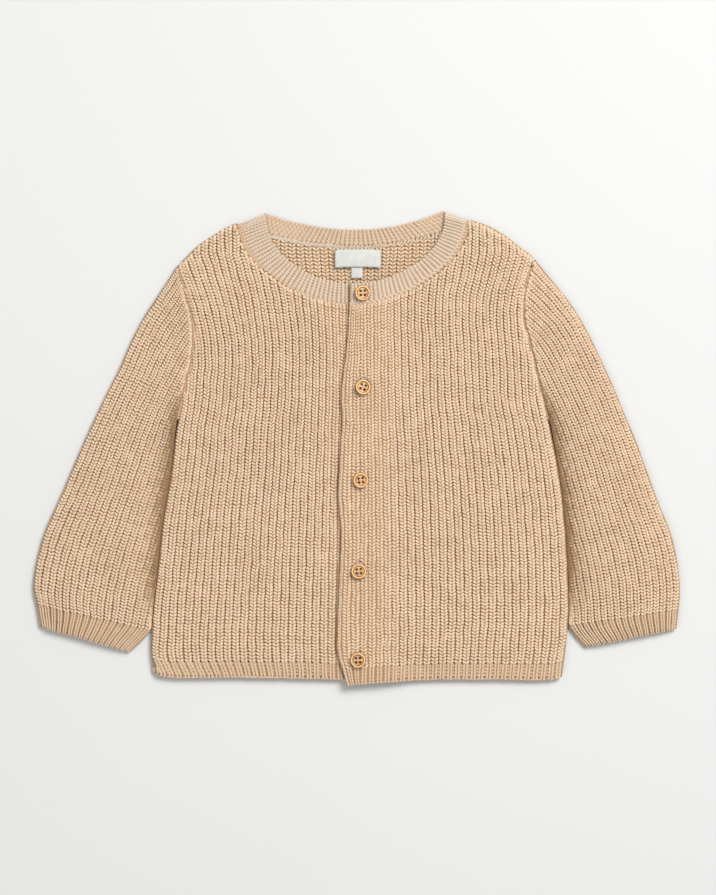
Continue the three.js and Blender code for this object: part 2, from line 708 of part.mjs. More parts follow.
// Both edges of the strip at a station, in plan.
function bandEdge(line, { part, side, rib }) {
  if (part === 'back') return backCurve(line, rib / NECK.backRibs);
  if (part === 'fold') return neckCurve(line, side, Math.PI / 2);
  if (rib >= 0) return neckCurve(line, side, (rib / NECK.frontRibs) * (Math.PI / 2));
  const x = NECK.x + SIGN[side] * rib * END_PITCH;
  return new THREE.Vector2(x, neckHeight(line, x, 0));
}

// A point of the strip: "across" is 0 at the seam and 1 at the free edge.
function bandPoint(station, across, outside) {
  const seam = bandEdge('seam', station);
  const free = bandEdge('free', station);
  const plan = seam.clone().lerp(free, across);
  const groove = station.part === 'fold' ? 0.5 : 1 - crest(station.rib);
  const edge = across === 0 || across === 1 ? BAND_EDGE : 0;
  const thick = BAND_WALL - groove * BAND_RIB_DEPTH - edge;
  if (station.part === 'back') return new THREE.Vector3(plan.x, plan.y, outside ? 0 : thick);
  if (station.part === 'fold') {
    const radius = AIR / 2 + (outside ? BAND_WALL - edge : 0);
    const angle = station.turn * Math.PI;
    const along = free.sub(seam).normalize();
    const outward = new THREE.Vector2(-along.y, along.x).multiplyScalar(Math.sign(along.x));
    plan.addScaledVector(outward, radius * Math.sin(angle));
    return new THREE.Vector3(plan.x, plan.y, FOLD_HEIGHT + radius * Math.cos(angle));
  }
  const base = liftOf(station.side, plan.x);
  return new THREE.Vector3(plan.x, plan.y, outside ? base + thick : base);
}

function neckband() {
  const face = (outside) => bandStations()
    .map((station) => [0, 0.88, 1].map((across) => bandPoint(station, across, outside)))
    .reverse();
  return wallBetween(face(true), face(false));
}

// Buttons and tapes

function button() {
  const { radius, thick, rim, dish, hole, spacing } = BUTTON;
  const profile = [
    [0, 0], [radius - 1.2, 0], [radius - 0.2, 0.7], [radius, thick * 0.6],
    [radius - 0.5, thick], [radius - rim, thick - 0.05], [radius - rim - 0.9, thick - dish],
    [0, thick - dish],
  ].map(([x, y]) => new THREE.Vector2(x, y));
  const turned = new THREE.LatheGeometry(profile, 16).rotateX(Math.PI / 2);
  let solid = toManifold(turned);
  for (const [i, j] of [[1, 1], [1, -1], [-1, 1], [-1, -1]]) {
    const drill = new THREE.CylinderGeometry(hole, hole, thick * 3, 6).rotateX(Math.PI / 2);
    solid = solid.subtract(toManifold(drill.translate(i * spacing, j * spacing, 0)));
  }
  return fromManifold(solid);
}

function tape({ wide, tall, thick }) {
  return new THREE.BoxGeometry(wide, tall, thick).translate(0, 0, thick / 2);
}

// Materials and assembly

const knit = new THREE.MeshStandardMaterial({ color: 0xd8b493, roughness: 0.95, metalness: 0 });
const wood = new THREE.MeshStandardMaterial({ color: 0xd9a45c, roughness: 0.55, metalness: 0 });
const tapeCloth = new THREE.MeshStandardMaterial({ color: 0xeef0f0, roughness: 0.8, metalness: 0 });

const cardigan = new THREE.Group();
cardigan.add(
  piece('back', backPanel(), knit),
  piece('front_right', front('right'), knit),
  piece('front_left', front('left'), knit),
  piece('sleeve_right', sleeve('right'), knit),
  piece('sleeve_left', sleeve('left'), knit),
  piece('neckband', neckband(), knit),
);

const sizeTag = piece('size_tag', tape(SIZE_TAG), tapeCloth);
sizeTag.position.set(SIZE_TAG.x, SIZE_TAG.y, LAYER);
const label = piece('neck_label', tape(LABEL), tapeCloth);
label.position.set(LABEL.x, LABEL.y, LAYER + SIZE_TAG.thick + AIR);
cardigan.add(sizeTag, label);

BUTTONS.forEach((place, i) => {
  const mesh = piece(`button_${i + 1}`, button(), wood);
  mesh.position.set(place.x, place.y, 3 * LAYER); // just clear of the left front
  mesh.rotation.z = THREE.MathUtils.degToRad(place.turn);
  cardigan.add(mesh);
});

// The origin is on the table, under the middle of the cardigan's outline.
const box = new THREE.Box3().setFromObject(cardigan);
const middle = box.getCenter(new THREE.Vector3());
cardigan.position.set(-middle.x, -middle.y, -box.min.z);

export default cardigan;
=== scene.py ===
# %% [markdown]
# # A knitted baby cardigan, laid flat
# The object is a small buttoned cardigan in chunky half-cardigan rib, photographed from
# straight above. It has a back, two fronts, two set-in sleeves, a ribbed neckband, five
# wooden buttons and two blank tapes sewn inside the neck.
#
# Knitting could be shown with a bump map alone, but at this size each stitch is 5 mm wide and
# casts its own shadow. So each panel is made twice over: a thin closed shell with soft ribs,
# which is the body of the cloth, and over it the stitches, two small legs of yarn for each.
#
# The file goes from the charts of sizes to the yarn, then to one stitch and the tree that lays
# it, and after that from panel to panel: fronts, back, sleeves and neckband. The buttons, the
# tapes, and the floor, light and camera come last.

import bpy
import numpy as np
from mathutils import Matrix, Vector


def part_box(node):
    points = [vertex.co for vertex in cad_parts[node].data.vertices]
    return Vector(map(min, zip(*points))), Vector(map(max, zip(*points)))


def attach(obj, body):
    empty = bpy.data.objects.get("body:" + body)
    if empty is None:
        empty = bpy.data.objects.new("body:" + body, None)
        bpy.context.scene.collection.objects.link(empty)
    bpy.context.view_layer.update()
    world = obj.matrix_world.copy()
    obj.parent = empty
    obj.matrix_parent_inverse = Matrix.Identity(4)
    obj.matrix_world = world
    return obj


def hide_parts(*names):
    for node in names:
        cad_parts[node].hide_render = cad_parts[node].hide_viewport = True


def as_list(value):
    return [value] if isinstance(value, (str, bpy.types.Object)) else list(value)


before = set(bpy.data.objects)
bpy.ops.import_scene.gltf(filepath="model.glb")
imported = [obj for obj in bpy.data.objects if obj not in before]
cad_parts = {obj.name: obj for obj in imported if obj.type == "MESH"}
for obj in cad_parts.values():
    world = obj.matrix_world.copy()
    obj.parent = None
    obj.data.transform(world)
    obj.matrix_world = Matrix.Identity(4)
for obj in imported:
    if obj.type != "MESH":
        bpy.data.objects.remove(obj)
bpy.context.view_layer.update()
MM = 0.001

# %% [markdown]
# ## Sizes and smooth tables
# A knitter works from a chart of widths at given heights. The same kind of chart drives the
# shapes here: a table has a row for each place that was measured, and is read on a smooth
# curve through its rows. Lengths are in millimetres. `out` is a distance from the button line
# towards either side, and heights start at the hem.

# %% A table that is read on a smooth curve
class Table:
    """Rows of named columns. The first column is what the others are read by."""

    def __init__(self, names, rows):
        self.by = names[0]
        self.columns = dict(zip(names, np.array(rows, dtype=float).T))

    def read(self, column, at):
        places, values = self.columns[self.by], self.columns[column]
        slopes = np.gradient(values) / np.gradient(places)
        at = np.clip(at, places[0], places[-1])
        row = np.clip(np.searchsorted(places, at, side="right") - 1, 0, len(places) - 2)
        step = places[row + 1] - places[row]
        t = (at - places[row]) / step
        return (
            values[row] * (1 + 2 * t) * (1 - t) ** 2
            + values[row + 1] * (3 - 2 * t) * t**2
            + slopes[row] * step * t * (1 - t) ** 2
            - slopes[row + 1] * step * (1 - t) * t**2
        )


def ease(low, high, at):
    """0 below low, 1 above high, and a smooth step between."""
    t = np.clip((at - low) / (high - low), 0, 1)
    return t * t * (3 - 2 * t)


def blend(a, b, share):
    """From a at share 0 to b at share 1."""
    return a + (b - a) * share


def rounded(distance, width):
    """The height of a quarter round, 0 at its edge and 1 from "width" inwards."""
    inside = 1 - np.clip(distance / width, 0, 1)
    return np.sqrt(1 - inside**2)


# %% Cloth, hem and opening
WALL = 3.0  # thickness of the knit over its ribs
AIR = 0.3  # gap between two layers that lie on each other
LAYER = WALL + AIR
SINK = 1.0  # the shell lies this far under the top of the stitches
HEM_DEPTH = 11.0
EDGE_RIBS = 2.5  # width of the strip by the buttons, in ribs
UNDERLAP = 12.0  # the right front runs this far under the left one
OVERLAP_END, RAMP = 13.0, 30.0  # the left front lies flat on the right one, then slopes down
UNDERARM = 180.0
SHOULDER_POINT = 278.0
NECK_RIBS = 23.4  # ribs counted out to here end at the neck or shoulder
FOLD_LIP = 0.45  # thickness left at the very edge of a fold

BODY = Table(
    ("y", "right", "left", "ribs"),
    [
        (-4, 132.5, 130.5, 26),
        (20, 135.9, 133.7, 26),
        (45, 134.5, 135.7, 26),
        (75, 131.3, 135.0, 26),
        (105, 128.0, 133.0, 26),
        (135, 123.0, 129.3, 26),
        (165, 119.3, 123.8, 26),
        (180, 116.4, 120.0, 26),
        (193, 113.0, 116.6, 25.5),
        (207, 109.6, 113.6, 25),
        (221, 108.2, 110.2, 24.5),
        (235, 109.0, 106.6, 24),
        (250, 112.4, 106.4, 23.8),
        (262, 116.2, 109.4, 23.6),
        (278, 121.5, 113.6, 23.4),
    ],
)
FRONT_EDGE = Table(
    ("y", "x"),
    [
        (-4, -7.8),
        (8, -11.7),
        (20, -15.0),
        (60, -13.9),
        (97, -12.5),
        (122, -14.3),
        (157, -12.4),
        (170, -11.6),
        (187, -12.3),
        (213, -9.1),
        (235, -7.3),
        (262, -7.2),
    ],
)
HEM_LINE = Table(
    ("out", "left", "right"),
    [
        (-15, -3.6, 0.8),
        (3, -1.9, 0.8),
        (20, -0.8, 1.0),
        (40, 0.4, 1.5),
        (80, 0.8, 2.0),
        (122, 0.6, 2.0),
        (131, 2.4, 3.2),
        (137, 6.0, 7.0),
    ],
)
SHOULDER = {
    "right": Table(
        ("out", "y"),
        [(72, 300.2), (84.5, 296.4), (95.6, 289.9), (105.3, 283.4), (112, 276.9),
         (119, 269.8), (126, 262)],
    ),
    "left": Table(
        ("out", "y"),
        [(64, 302.2), (82.6, 296.4), (94.3, 289.9), (102.7, 283.4), (111.2, 276.9),
         (118, 270), (125, 262)],
    ),
}
SIGN = {"right": -1.0, "left": 1.0}
print("half widths at the underarm", BODY.read("right", UNDERARM), BODY.read("left", UNDERARM))

# %% The neckline, along the band's seam and along its free edge
NECK_X = -4.0  # the lowest point of the neck lies here
ROUNDNESS = {"seam": 1.75, "free": 1.9}  # 2 is an ellipse, less is more pointed
NECK_LOW = {"seam": 245.4, "free": 258.2}
NECK_TOP = {
    ("seam", "right"): (-76.2, 295.8),
    ("seam", "left"): (68.0, 298.2),
    ("free", "right"): (-61.9, 301.3),
    ("free", "left"): (55.3, 301.9),
}
NECK_BACK = {"seam": 283.7, "free": 293.5}
BACK_CORNER = {"right": (-62.4, 303.8), "left": (54.4, 305.3)}
NECK_CLEAR = 3.2  # room for the fold of the neckband where it meets the shoulder
NECK_GAP = 0.4


def neck_height(line, x, clear=0.0):
    """Height of the front neckline at a place across it."""
    side_left = x >= NECK_X
    (rx, ry), (lx, ly) = NECK_TOP[line, "right"], NECK_TOP[line, "left"]
    top_x, top_y = np.where(side_left, lx, rx), np.where(side_left, ly, ry)
    share = np.clip(np.abs(x - NECK_X) / (np.abs(top_x - NECK_X) + clear), 0, 1)
    power = ROUNDNESS[line]
    return top_y - (top_y - NECK_LOW[line]) * (1 - share**power) ** (1 / power)


def neck_reach(x):
    """How far the neckline reaches from its middle, on the side where x is."""
    top = NECK_TOP["seam", "left" if x >= NECK_X else "right"]
    return abs(top[0] - NECK_X) + NECK_CLEAR


def back_neckline(x):
    """Height of the neckline of the back."""
    side = "left" if x >= NECK_X else "right"
    share = (x - NECK_X) / neck_reach(x)
    return NECK_BACK["seam"] + (NECK_TOP["seam", side][1] - NECK_BACK["seam"]) * share**2


def front_neckline(x):
    """Height of the seam of the front neckline."""
    return float(neck_height("seam", np.float64(x), NECK_CLEAR))


print("neck opening, from", NECK_TOP["seam", "right"], "to", NECK_TOP["seam", "left"])


# %% From rib numbers to places on the body
def ribs_at(y):
    """How many ribs one half of the body has at a height."""
    return BODY.read("ribs", y)


def half_width(side, y):
    """From the button line to the side of the body."""
    return BODY.read(side, y)


def rib_out(side, rib, y):
    """Distance from the button line of rib line number "rib", at a height."""
    edge = FRONT_EDGE.read("x", y) if side == "left" else -UNDERLAP
    return np.where(rib >= 0, half_width(side, y) * rib / ribs_at(y), -edge * rib / EDGE_RIBS)


def rib_top(side, rib, neckline):
    """The top end of a rib line, and what it runs into there."""
    if rib > NECK_RIBS:
        low, high = UNDERARM, SHOULDER_POINT
        for _ in range(40):
            middle = (low + high) / 2
            low, high = (middle, high) if ribs_at(middle) > rib else (low, middle)
        return low, "armhole"
    top = SHOULDER_POINT
    for _ in range(30):
        out = float(rib_out(side, rib, top))
        x = out * SIGN[side]
        across = abs(x - NECK_X) < neck_reach(x)
        top = neckline(x) - NECK_GAP if across else float(SHOULDER[side].read("y", out))
    return top, "neck" if across else "shoulder"


def rib_bottom(side, rib):
    """The height where a rib line starts, at the hem."""
    y = 0.0
    for _ in range(8):
        y = float(HEM_LINE.read(side, rib_out(side, rib, y)))
    return y


def rib_ends(side, rib, neckline):
    """Both ends of a rib line, and what its top runs into."""
    top, into = rib_top(side, rib, neckline)
    return {"bottom": rib_bottom(side, rib), "top": top, "into": into}


def lift_of(side, out):
    """Height of the underside of a front: the left one lies on the right one at the opening."""
    if side == "right":
        return np.full_like(out, LAYER)
    return LAYER + LAYER * (1 - ease(OVERLAP_END, OVERLAP_END + RAMP, out))


# The cardigan's frame puts the origin under the middle of its outline. The neck tape's
# place in both frames gives the shift between them.
LABEL = {"x": -1.4, "y": 275.0, "wide": 29.8, "tall": 11.6}
low, high = (np.array(corner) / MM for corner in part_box("neck_label"))
SHIFT = (low + high) / 2 - np.array([LABEL["x"], LABEL["y"], (low[2] + high[2]) / 2])
print("shift in mm", SHIFT.round(3))


def place(points):
    """Millimetres on the chart to metres in the scene."""
    return (np.asarray(points, dtype=float) + SHIFT) * MM


# %% [markdown]
# ## Materials
# The yarn is a soft, matt, sand coloured wool and cotton. Light goes into the pile of fine
# fibres and comes out warm, so the hollows between stitches are more orange than the tops, and
# grazing light catches the fibre ends, which Blender's sheen imitates. A picture of knitting
# could be tiled over the surface, but here every stitch is real, so the material needs the
# twist of the yarn along each stitch, small changes of tone, and a fine fibre bump. Shade is
# also painted into the colour: at the sides and ends of each stitch, in the low parts of the
# cloth's bumps, in the darker cloth under the stitches, and as a warm brown in the crease
# beside the body.

# %% A wrapper that lets shader maths be written as plain expressions
class Value:
    """A socket of a material. Arithmetic on it adds Math nodes."""

    def __init__(self, tree, socket):
        self.tree, self.socket = tree, socket

    def node(self, kind, settings=None, output=0, **inputs):
        return add_node(self.tree, kind, settings, output, **inputs)

    def maths(self, operation, a, b=0.0):
        return self.node("ShaderNodeMath", {"operation": operation}, i0=a, i1=b)

    def __add__(self, other):
        return self.maths("ADD", self, other)

    def __radd__(self, other):
        return self.maths("ADD", other, self)

    def __sub__(self, other):
        return self.maths("SUBTRACT", self, other)

    def __rsub__(self, other):
        return self.maths("SUBTRACT", other, self)

    def __mul__(self, other):
        return self.maths("MULTIPLY", self, other)

    def __rmul__(self, other):
        return self.maths("MULTIPLY", other, self)

    def __truediv__(self, other):
        return self.maths("DIVIDE", self, other)

    def __pow__(self, other):
        return self.maths("POWER", self, other)

    def sine(self):
        return self.maths("SINE", self)

    def size(self):
        return self.maths("ABSOLUTE", self)

    def clamped(self, low, high, start=0.0, end=1.0):
        return self.node(
            "ShaderNodeMapRange",
            {"interpolation_type": "SMOOTHSTEP"},
            Value=self, From_Min=low, From_Max=high, To_Min=start, To_Max=end,
        )

    def between(self, first, second):
        """A colour from first at 0 to second at 1."""
        return self.node(
            "ShaderNodeMix", {"data_type": "RGBA"}, 2, i0=self, i6=first, i7=second
        )

    def part(self, axis):
        """One coordinate of a vector, 0 for the first."""
        return self.node("ShaderNodeSeparateXYZ", None, axis, i0=self)


def add_node(tree, kind, settings=None, output=0, **inputs):
    """A node with its settings, then the values or links of its sockets."""
    made = tree.nodes.new(kind)
    for name, setting in (settings or {}).items():
        if name == "stops":
            ramp = made.color_ramp
            for spare in list(ramp.elements)[1:]:
                ramp.elements.remove(spare)
            ramp.elements[0].position, ramp.elements[0].color = setting[0]
            for position, colour in setting[1:]:
                ramp.elements.new(position).color = colour
        else:
            setattr(made, name, setting)
    for name, value in inputs.items():
        is_index = name[0] == "i" and name[1:].isdigit()
        socket = made.inputs[int(name[1:]) if is_index else name.replace("_", " ")]
        if isinstance(value, Value):
            tree.links.new(value.socket, socket)
        else:
            socket.default_value = value
    return Value(tree, made.outputs[output])


def linear(red, green, blue):
    """A colour as seen on a screen, 0 to 255, as Blender's linear light."""
    return tuple(((c / 255 + 0.055) / 1.055) ** 2.4 for c in (red, green, blue)) + (1.0,)


def new_material(name, colour, **fixed):
    """A principled material with its fixed values, its tree and its shader node."""
    material = bpy.data.materials.new(name)
    material.use_nodes = True
    material.diffuse_color = colour
    shader = material.node_tree.nodes["Principled BSDF"]
    shader.inputs["Base Color"].default_value = colour
    for socket, value in fixed.items():
        shader.inputs[socket.replace("_", " ")].default_value = value
    return material, material.node_tree, shader


def plug(tree, value, socket):
    tree.links.new(value.socket, socket)


def own_place(tree):
    """The place on the piece itself, in metres: Blender's Object coordinates."""
    return add_node(tree, "ShaderNodeTexCoord", None, 3)


def own_uv(tree):
    return add_node(tree, "ShaderNodeUVMap", {"uv_map": "UVMap"})


def noise(where, scale, detail, **more):
    """Soft noise round 0.5, with about "scale" lumps to a unit of the place it reads."""
    return where.node(
        "ShaderNodeTexNoise", None, 0, Vector=where, Scale=scale, Detail=detail, **more
    )


def plug_surface(tree, shader, colour, height, strength, distance):
    """Give a shader its varying colour, and a bump from a height."""
    plug(tree, colour, shader.inputs["Base Color"])
    bump = height.node(
        "ShaderNodeBump", None, 0, Strength=strength, Distance=distance, Height=height
    )
    plug(tree, bump, shader.inputs["Normal"])


# %% Yarn on the stitches, and the cloth under them
CIRCLE = 6.2832  # a whole turn, for sines
# SAND is the yarn's colour. The darker ones give random tone and also painted shade: SAND_DEEP at
# the sides and ends of stitches and in the low parts of the cloth, SAND_SHADE in the cloth seen
# between the stitches.
SAND = (227, 202, 172)
SAND_DEEP = (187, 157, 122)
SAND_SHADE = (160, 122, 82)
FOLD_SHADE = (132, 94, 60)  # painted shade: the warm brown of the crease beside the body


def yarn_material(name, light, deep, twists, tip_shade):
    """Yarn whose strands wind round each stitch, as its UV map runs along it. Its colour has
    painted
    shade: darker at the sides of each stitch, and by the last argument at both ends, where it dives
    under the next; a warm brown is painted where stitches lie in the fold beside the body."""
    material, tree, shader = new_material(
        name, linear(*light), Roughness=0.92, Sheen_Weight=0.5, Sheen_Roughness=0.45,
        Specular_IOR_Level=0.15,
    )
    uv, where = own_uv(tree), own_place(tree)
    across, along = uv.part(0), uv.part(1)
    tone = add_node(tree, "ShaderNodeAttribute", {"attribute_name": "tone"}, 2)
    cloudy, patches, fibres = (
        noise(where, scale, detail) for scale, detail in ((38.0, 3.0), (140.0, 3.0), (2600.0, 2.0))
    )
    strand = ((along * twists + across * 1.3) * CIRCLE).sine()
    # Painted shade: each stitch darkens towards its two sides and its two ends, where its
    # neighbours would shade it.
    edge = (across - 0.5).size().clamped(0.22, 0.5)
    tip = (along - 0.55).size().clamped(0.22, 0.5)
    shade = edge * 0.5 + tip * tip_shade + (1 - tone) * 0.2 + (cloudy - 0.5) * 0.5
    shade = shade + (fibres - 0.5) * 0.35 + (0.5 - strand * 0.5) * 0.1
    pinker = linear(light[0] + 2, light[1] - 4, light[2])
    top = patches.clamped(0.42, 0.68).between(linear(*light), pinker)
    colour = shade.clamped(0.0, 1.0).between(top, linear(*deep))
    # Painted shade: a warm brown where the tone was lowered beside the body, in the fold of the
    # sleeve.
    folded = tone.clamped(-3.5, 0.0, 0.85, 0.0).between(colour, linear(*FOLD_SHADE))
    plug_surface(tree, shader, folded, strand * 0.5 + fibres * 0.9, 0.55, 0.0003)
    return material


def cloth_material(name, deep, light):
    """Cloth with its courses as fine bumps, with painted shade: a deep tone in their low parts and
    a light one on their tops.
    """
    material, tree, shader = new_material(
        name, linear(*deep), Roughness=0.95, Sheen_Weight=0.15,
        Specular_IOR_Level=0.1,
    )
    uv = own_uv(tree)
    across, along = uv.part(0), uv.part(1)
    fibres = noise(own_place(tree), 1800.0, 3.0)
    legs = (across * (2 * CIRCLE)).sine().size()
    courses = ((along + legs * 0.35) * CIRCLE).sine() * 0.5 + 0.5
    height = courses * 0.6 + legs * 0.5 + fibres * 0.5
    # Painted shade: the colour follows the height of the bumps, darker where they are low.
    shade = (height * 0.6).clamped(0.15, 1.0)
    colour = shade.between(linear(*deep), linear(*light))
    plug_surface(tree, shader, colour, height, 0.7, 0.0006)
    return material


YARN = yarn_material("yarn", SAND, SAND_DEEP, 1.6, 0.45)
FINE_YARN = yarn_material("fine_yarn", (208, 190, 168), (187, 165, 140), 1.2, 0.0)
# Painted shade: a darker copy of the yarn for the back of the neckband, which lies lower than the
# band on the fronts.
SHADED_INNER_YARN = yarn_material("shaded_inner_yarn", (204, 180, 153), (178, 149, 118), 1.2, 0.0)
SEAM_YARN = yarn_material("seam_yarn", (198, 169, 136), (158, 126, 92), 1.4, 0.3)
HEM_YARN = yarn_material("hem_yarn", (210, 184, 154), (184, 154, 122), 1.4, 0.0)
# Painted shade: the cloth under the stitches, and the neckband's, is darker than the yarn, for the
# gaps between the stitches.
GROUND = cloth_material("knit_ground", SAND_SHADE, SAND_DEEP)
BAND_GROUND = cloth_material("band_ground", (164, 132, 98), (196, 166, 134))
OUTSIDE = cloth_material("knit_outside", SAND_DEEP, SAND)
print("materials", [m.name for m in (YARN, GROUND, OUTSIDE)])

# %% [markdown]
# ## One stitch, and a tree that lays thousands of them
# A knit stitch shows as a V: two legs of yarn that come up out of the stitch below and lean
# apart. In chunky rib the Vs of a rib are plump, and a groove divides it from the next.
# The legs could be drawn as curves with thickness, but one small mesh of a few dozen faces,
# laid by Geometry Nodes on points that carry their own direction and size, is light, and the
# tree can turn and shade each one a little, as hand work would.

# %% A leg of yarn, and stitches made of legs
WALE = 5.0  # usual width of a rib
COURSE = 2.08  # height of a stitch


def leg(foot, head, girth, height, dive=0.35, drop=0.8, even=0.0, tuck=0.0):
    """A grain of yarn from foot to head, in millimetres. "dive" takes its foot down, "tuck"
    its head, and "drop" lets it fall away towards the grooves at both sides of the rib.
    "even" makes it less plump, so that a row of them reads as a smooth cord."""
    foot, head = np.array(foot), np.array(head)
    middle, reach = (foot + head) / 2, (head - foot) / 2
    side = np.array([reach[1], -reach[0]]) / np.hypot(*reach)
    points, uvs = [], []
    for s, share in ((-1, 0.38), (-0.45, 0.88), (0.35, 1.06), (1, 0.55)):
        share = blend(share, 0.95, even)
        for j, angle in enumerate(np.radians((-88, -32, 32, 88))):
            x, y = middle + reach * s + side * girth * share * np.sin(angle)
            z = height * share * np.cos(angle) - dive * max(-s, 0) - tuck * max(s, 0)
            z -= drop * (2 * x / WALE) ** 2
            points.append((x / WALE, y / COURSE, z))
            uvs.append((j / 3, (s + 1) / 2))
    faces = [
        (4 * i + j, 4 * i + j + 1, 4 * i + j + 5, 4 * i + j + 4)
        for i in range(3)
        for j in range(3)
    ]
    if reach[1] < 0 or (reach[1] == 0 and reach[0] < 0):
        faces = [face[::-1] for face in faces]
    return points, uvs, faces


def joined(pieces):
    """Points, UVs and faces of several pieces as one."""
    points, uvs, faces = [], [], []
    for more_points, more_uvs, more_faces in pieces:
        faces += [tuple(i + len(points) for i in face) for face in more_faces]
        points += more_points
        uvs += more_uvs
    return points, uvs, faces


def mesh_with_uv(name, points, uvs, faces):
    """A smooth mesh whose UV map has one place for each point."""
    mesh = bpy.data.meshes.new(name)
    mesh.from_pydata(points, [], faces)
    layer = mesh.uv_layers.new(name="UVMap")
    for loop in mesh.loops:
        layer.data[loop.index].uv = uvs[loop.vertex_index]
    mesh.shade_smooth()
    return mesh


def stitch_object(name, legs):
    """A mesh of one or more legs for the tree to lay."""
    mesh = mesh_with_uv(name, *joined(legs))
    up = sum(polygon.normal.z for polygon in mesh.polygons)
    print(name, "faces", len(mesh.polygons), "up" if up > 0 else "DOWN")
    return bpy.data.objects.new(name, mesh)


def pair(foot, head, *rest):
    """A leg and its mirror image."""
    mirrored = leg((-foot[0], foot[1]), (-head[0], head[1]), *rest)
    return [leg(foot, head, *rest), mirrored]


def by_lean(name, *shape):
    """A leg whose head leans left and its mirror image, as two stitches."""
    return {
        lean: stitch_object(name + "_" + lean, [one])
        for lean, one in zip(("left", "right"), pair(*shape))
    }


LEG = by_lean("leg", (1.2, -1.1), (-1.08, 1.0), 0.84, 1.2, 0.3, 0.0, 0.0, 0.45)
INSIDE_LEG = by_lean("inside_leg", (1.3, -0.8), (-1.25, 0.85), 0.66, 0.9, 0.2, 0.0)
SLIM = stitch_object("slim_stitch", pair((0.98, -1.9), (1.04, 1.9), 0.86, 1.0, 0.12, 0.25, 0.8))
SINGLE = stitch_object("single_stitch", [leg((-0.12, -1.45), (0.12, 1.4), 2.4, 1.0, 0.1, 0.4)])
PURL = stitch_object("purl_stitch", [leg((-1.15, -0.12), (1.15, 0.12), 0.75, 0.8, 0.2, 0.6)])
EDGING = stitch_object("edging", [leg((-0.1, -1.45), (0.1, 1.4), 1.15, 1.0, 0.1, 0.0)])
LEG_APART = 0.225  # legs stand this far from the middle of a rib, as a share of its width


# %% The tree that lays them
def new_tree(name, inputs):
    """A Geometry Nodes tree with named inputs, and its input sockets by name."""
    tree = bpy.data.node_groups.new(name, "GeometryNodeTree")
    tree.interface.new_socket("Geometry", in_out="INPUT", socket_type="NodeSocketGeometry")
    tree.interface.new_socket("Geometry", in_out="OUTPUT", socket_type="NodeSocketGeometry")
    for label, (kind, value) in inputs.items():
        socket = tree.interface.new_socket(label, in_out="INPUT", socket_type="NodeSocket" + kind)
        if value is not None:
            socket.default_value = value
    given = tree.nodes.new("NodeGroupInput")
    return tree, {socket.name: Value(tree, socket) for socket in given.outputs if socket.name}


def end_tree(tree, geometry):
    """Close a tree with the geometry it gives."""
    out = tree.nodes.new("NodeGroupOutput")
    tree.links.new(geometry.socket, out.inputs[0])


def stitch_tree():
    """Points with "facing", "along", "wide", "tall" and "crease" become stitches."""
    tree, given = new_tree(
        "lay_stitches",
        {
            "Stitch": ("Object", None),
            "Yarn": ("Material", None),
            "Rise": ("Float", 0.001),
            "Unevenness": ("Float", 0.06),
            "Wobble": ("Float", 0.0006),
            "Seed": ("Int", 1),
        },
    )

    def carried(name, kind):
        return add_node(tree, "GeometryNodeInputNamedAttribute", {"data_type": kind}, 0, Name=name)

    def random(low, high, extra):
        return add_node(
            tree, "FunctionNodeRandomValue", {"data_type": "FLOAT"}, 1,
            i2=low, i3=high, i8=given["Seed"] + extra,
        )

    flat = add_node(
        tree, "FunctionNodeAlignRotationToVector", {"axis": "Z"}, 0,
        Vector=carried("facing", "FLOAT_VECTOR"),
    )
    upright = add_node(
        tree, "FunctionNodeAlignRotationToVector", {"axis": "Y", "pivot_axis": "Z"}, 0,
        Rotation=flat, Vector=carried("along", "FLOAT_VECTOR"),
    )
    uneven = given["Unevenness"]
    euler = add_node(
        tree, "ShaderNodeCombineXYZ", None, 0,
        X=random(-1.0, 1.0, 1) * uneven, Y=random(-1.0, 1.0, 2) * uneven,
        Z=random(-1.0, 1.0, 3) * uneven,
    )
    jitter = add_node(tree, "FunctionNodeEulerToRotation", None, 0, i0=euler)
    turned = add_node(
        tree, "FunctionNodeRotateRotation", {"rotation_space": "LOCAL"}, 0, i0=upright, i1=jitter
    )
    wide, tall = carried("wide", "FLOAT"), carried("tall", "FLOAT")
    rise = given["Rise"]
    size = add_node(
        tree, "ShaderNodeCombineXYZ", None, 0,
        X=wide + wide * random(-0.6, 0.6, 4) * uneven, Y=tall,
        Z=rise + rise * random(-1.5, 1.5, 5) * uneven,
    )
    stitch = add_node(tree, "GeometryNodeObjectInfo", None, "Geometry", Object=given["Stitch"])
    where = add_node(tree, "GeometryNodeInputPosition")
    drift = add_node(
        tree, "ShaderNodeTexNoise", None, 1, Vector=where, Scale=110.0, Detail=1.0
    )
    centred = drift.node("ShaderNodeVectorMath", {"operation": "SUBTRACT"}, 0, i0=drift,
                         i1=(0.5, 0.5, 0.5))
    flat_drift = centred.node("ShaderNodeVectorMath", {"operation": "MULTIPLY"}, 0, i0=centred,
                              i1=(1.0, 1.0, 0.15))
    shift = flat_drift.node("ShaderNodeVectorMath", {"operation": "SCALE"}, 0, i0=flat_drift,
                            Scale=given["Wobble"] * 4)
    strayed = add_node(
        tree, "GeometryNodeSetPosition", None, 0, i0=given["Geometry"], Offset=shift
    )
    laid = add_node(
        tree, "GeometryNodeInstanceOnPoints", None, 0,
        Points=strayed, Instance=stitch, Rotation=turned, Scale=size,
    )
    # The tone of each stitch is random, and lowered by the painted shade of the fold beside the
    # body.
    toned = add_node(
        tree, "GeometryNodeStoreNamedAttribute", {"data_type": "FLOAT", "domain": "INSTANCE"}, 0,
        i0=laid, Name="tone", Value=random(0.0, 1.0, 6) - carried("crease", "FLOAT") * 4,
    )
    real = add_node(tree, "GeometryNodeRealizeInstances", None, 0, i0=toned)
    end_tree(
        tree, add_node(tree, "GeometryNodeSetMaterial", None, 0, i0=real, Material=given["Yarn"])
    )
    return tree


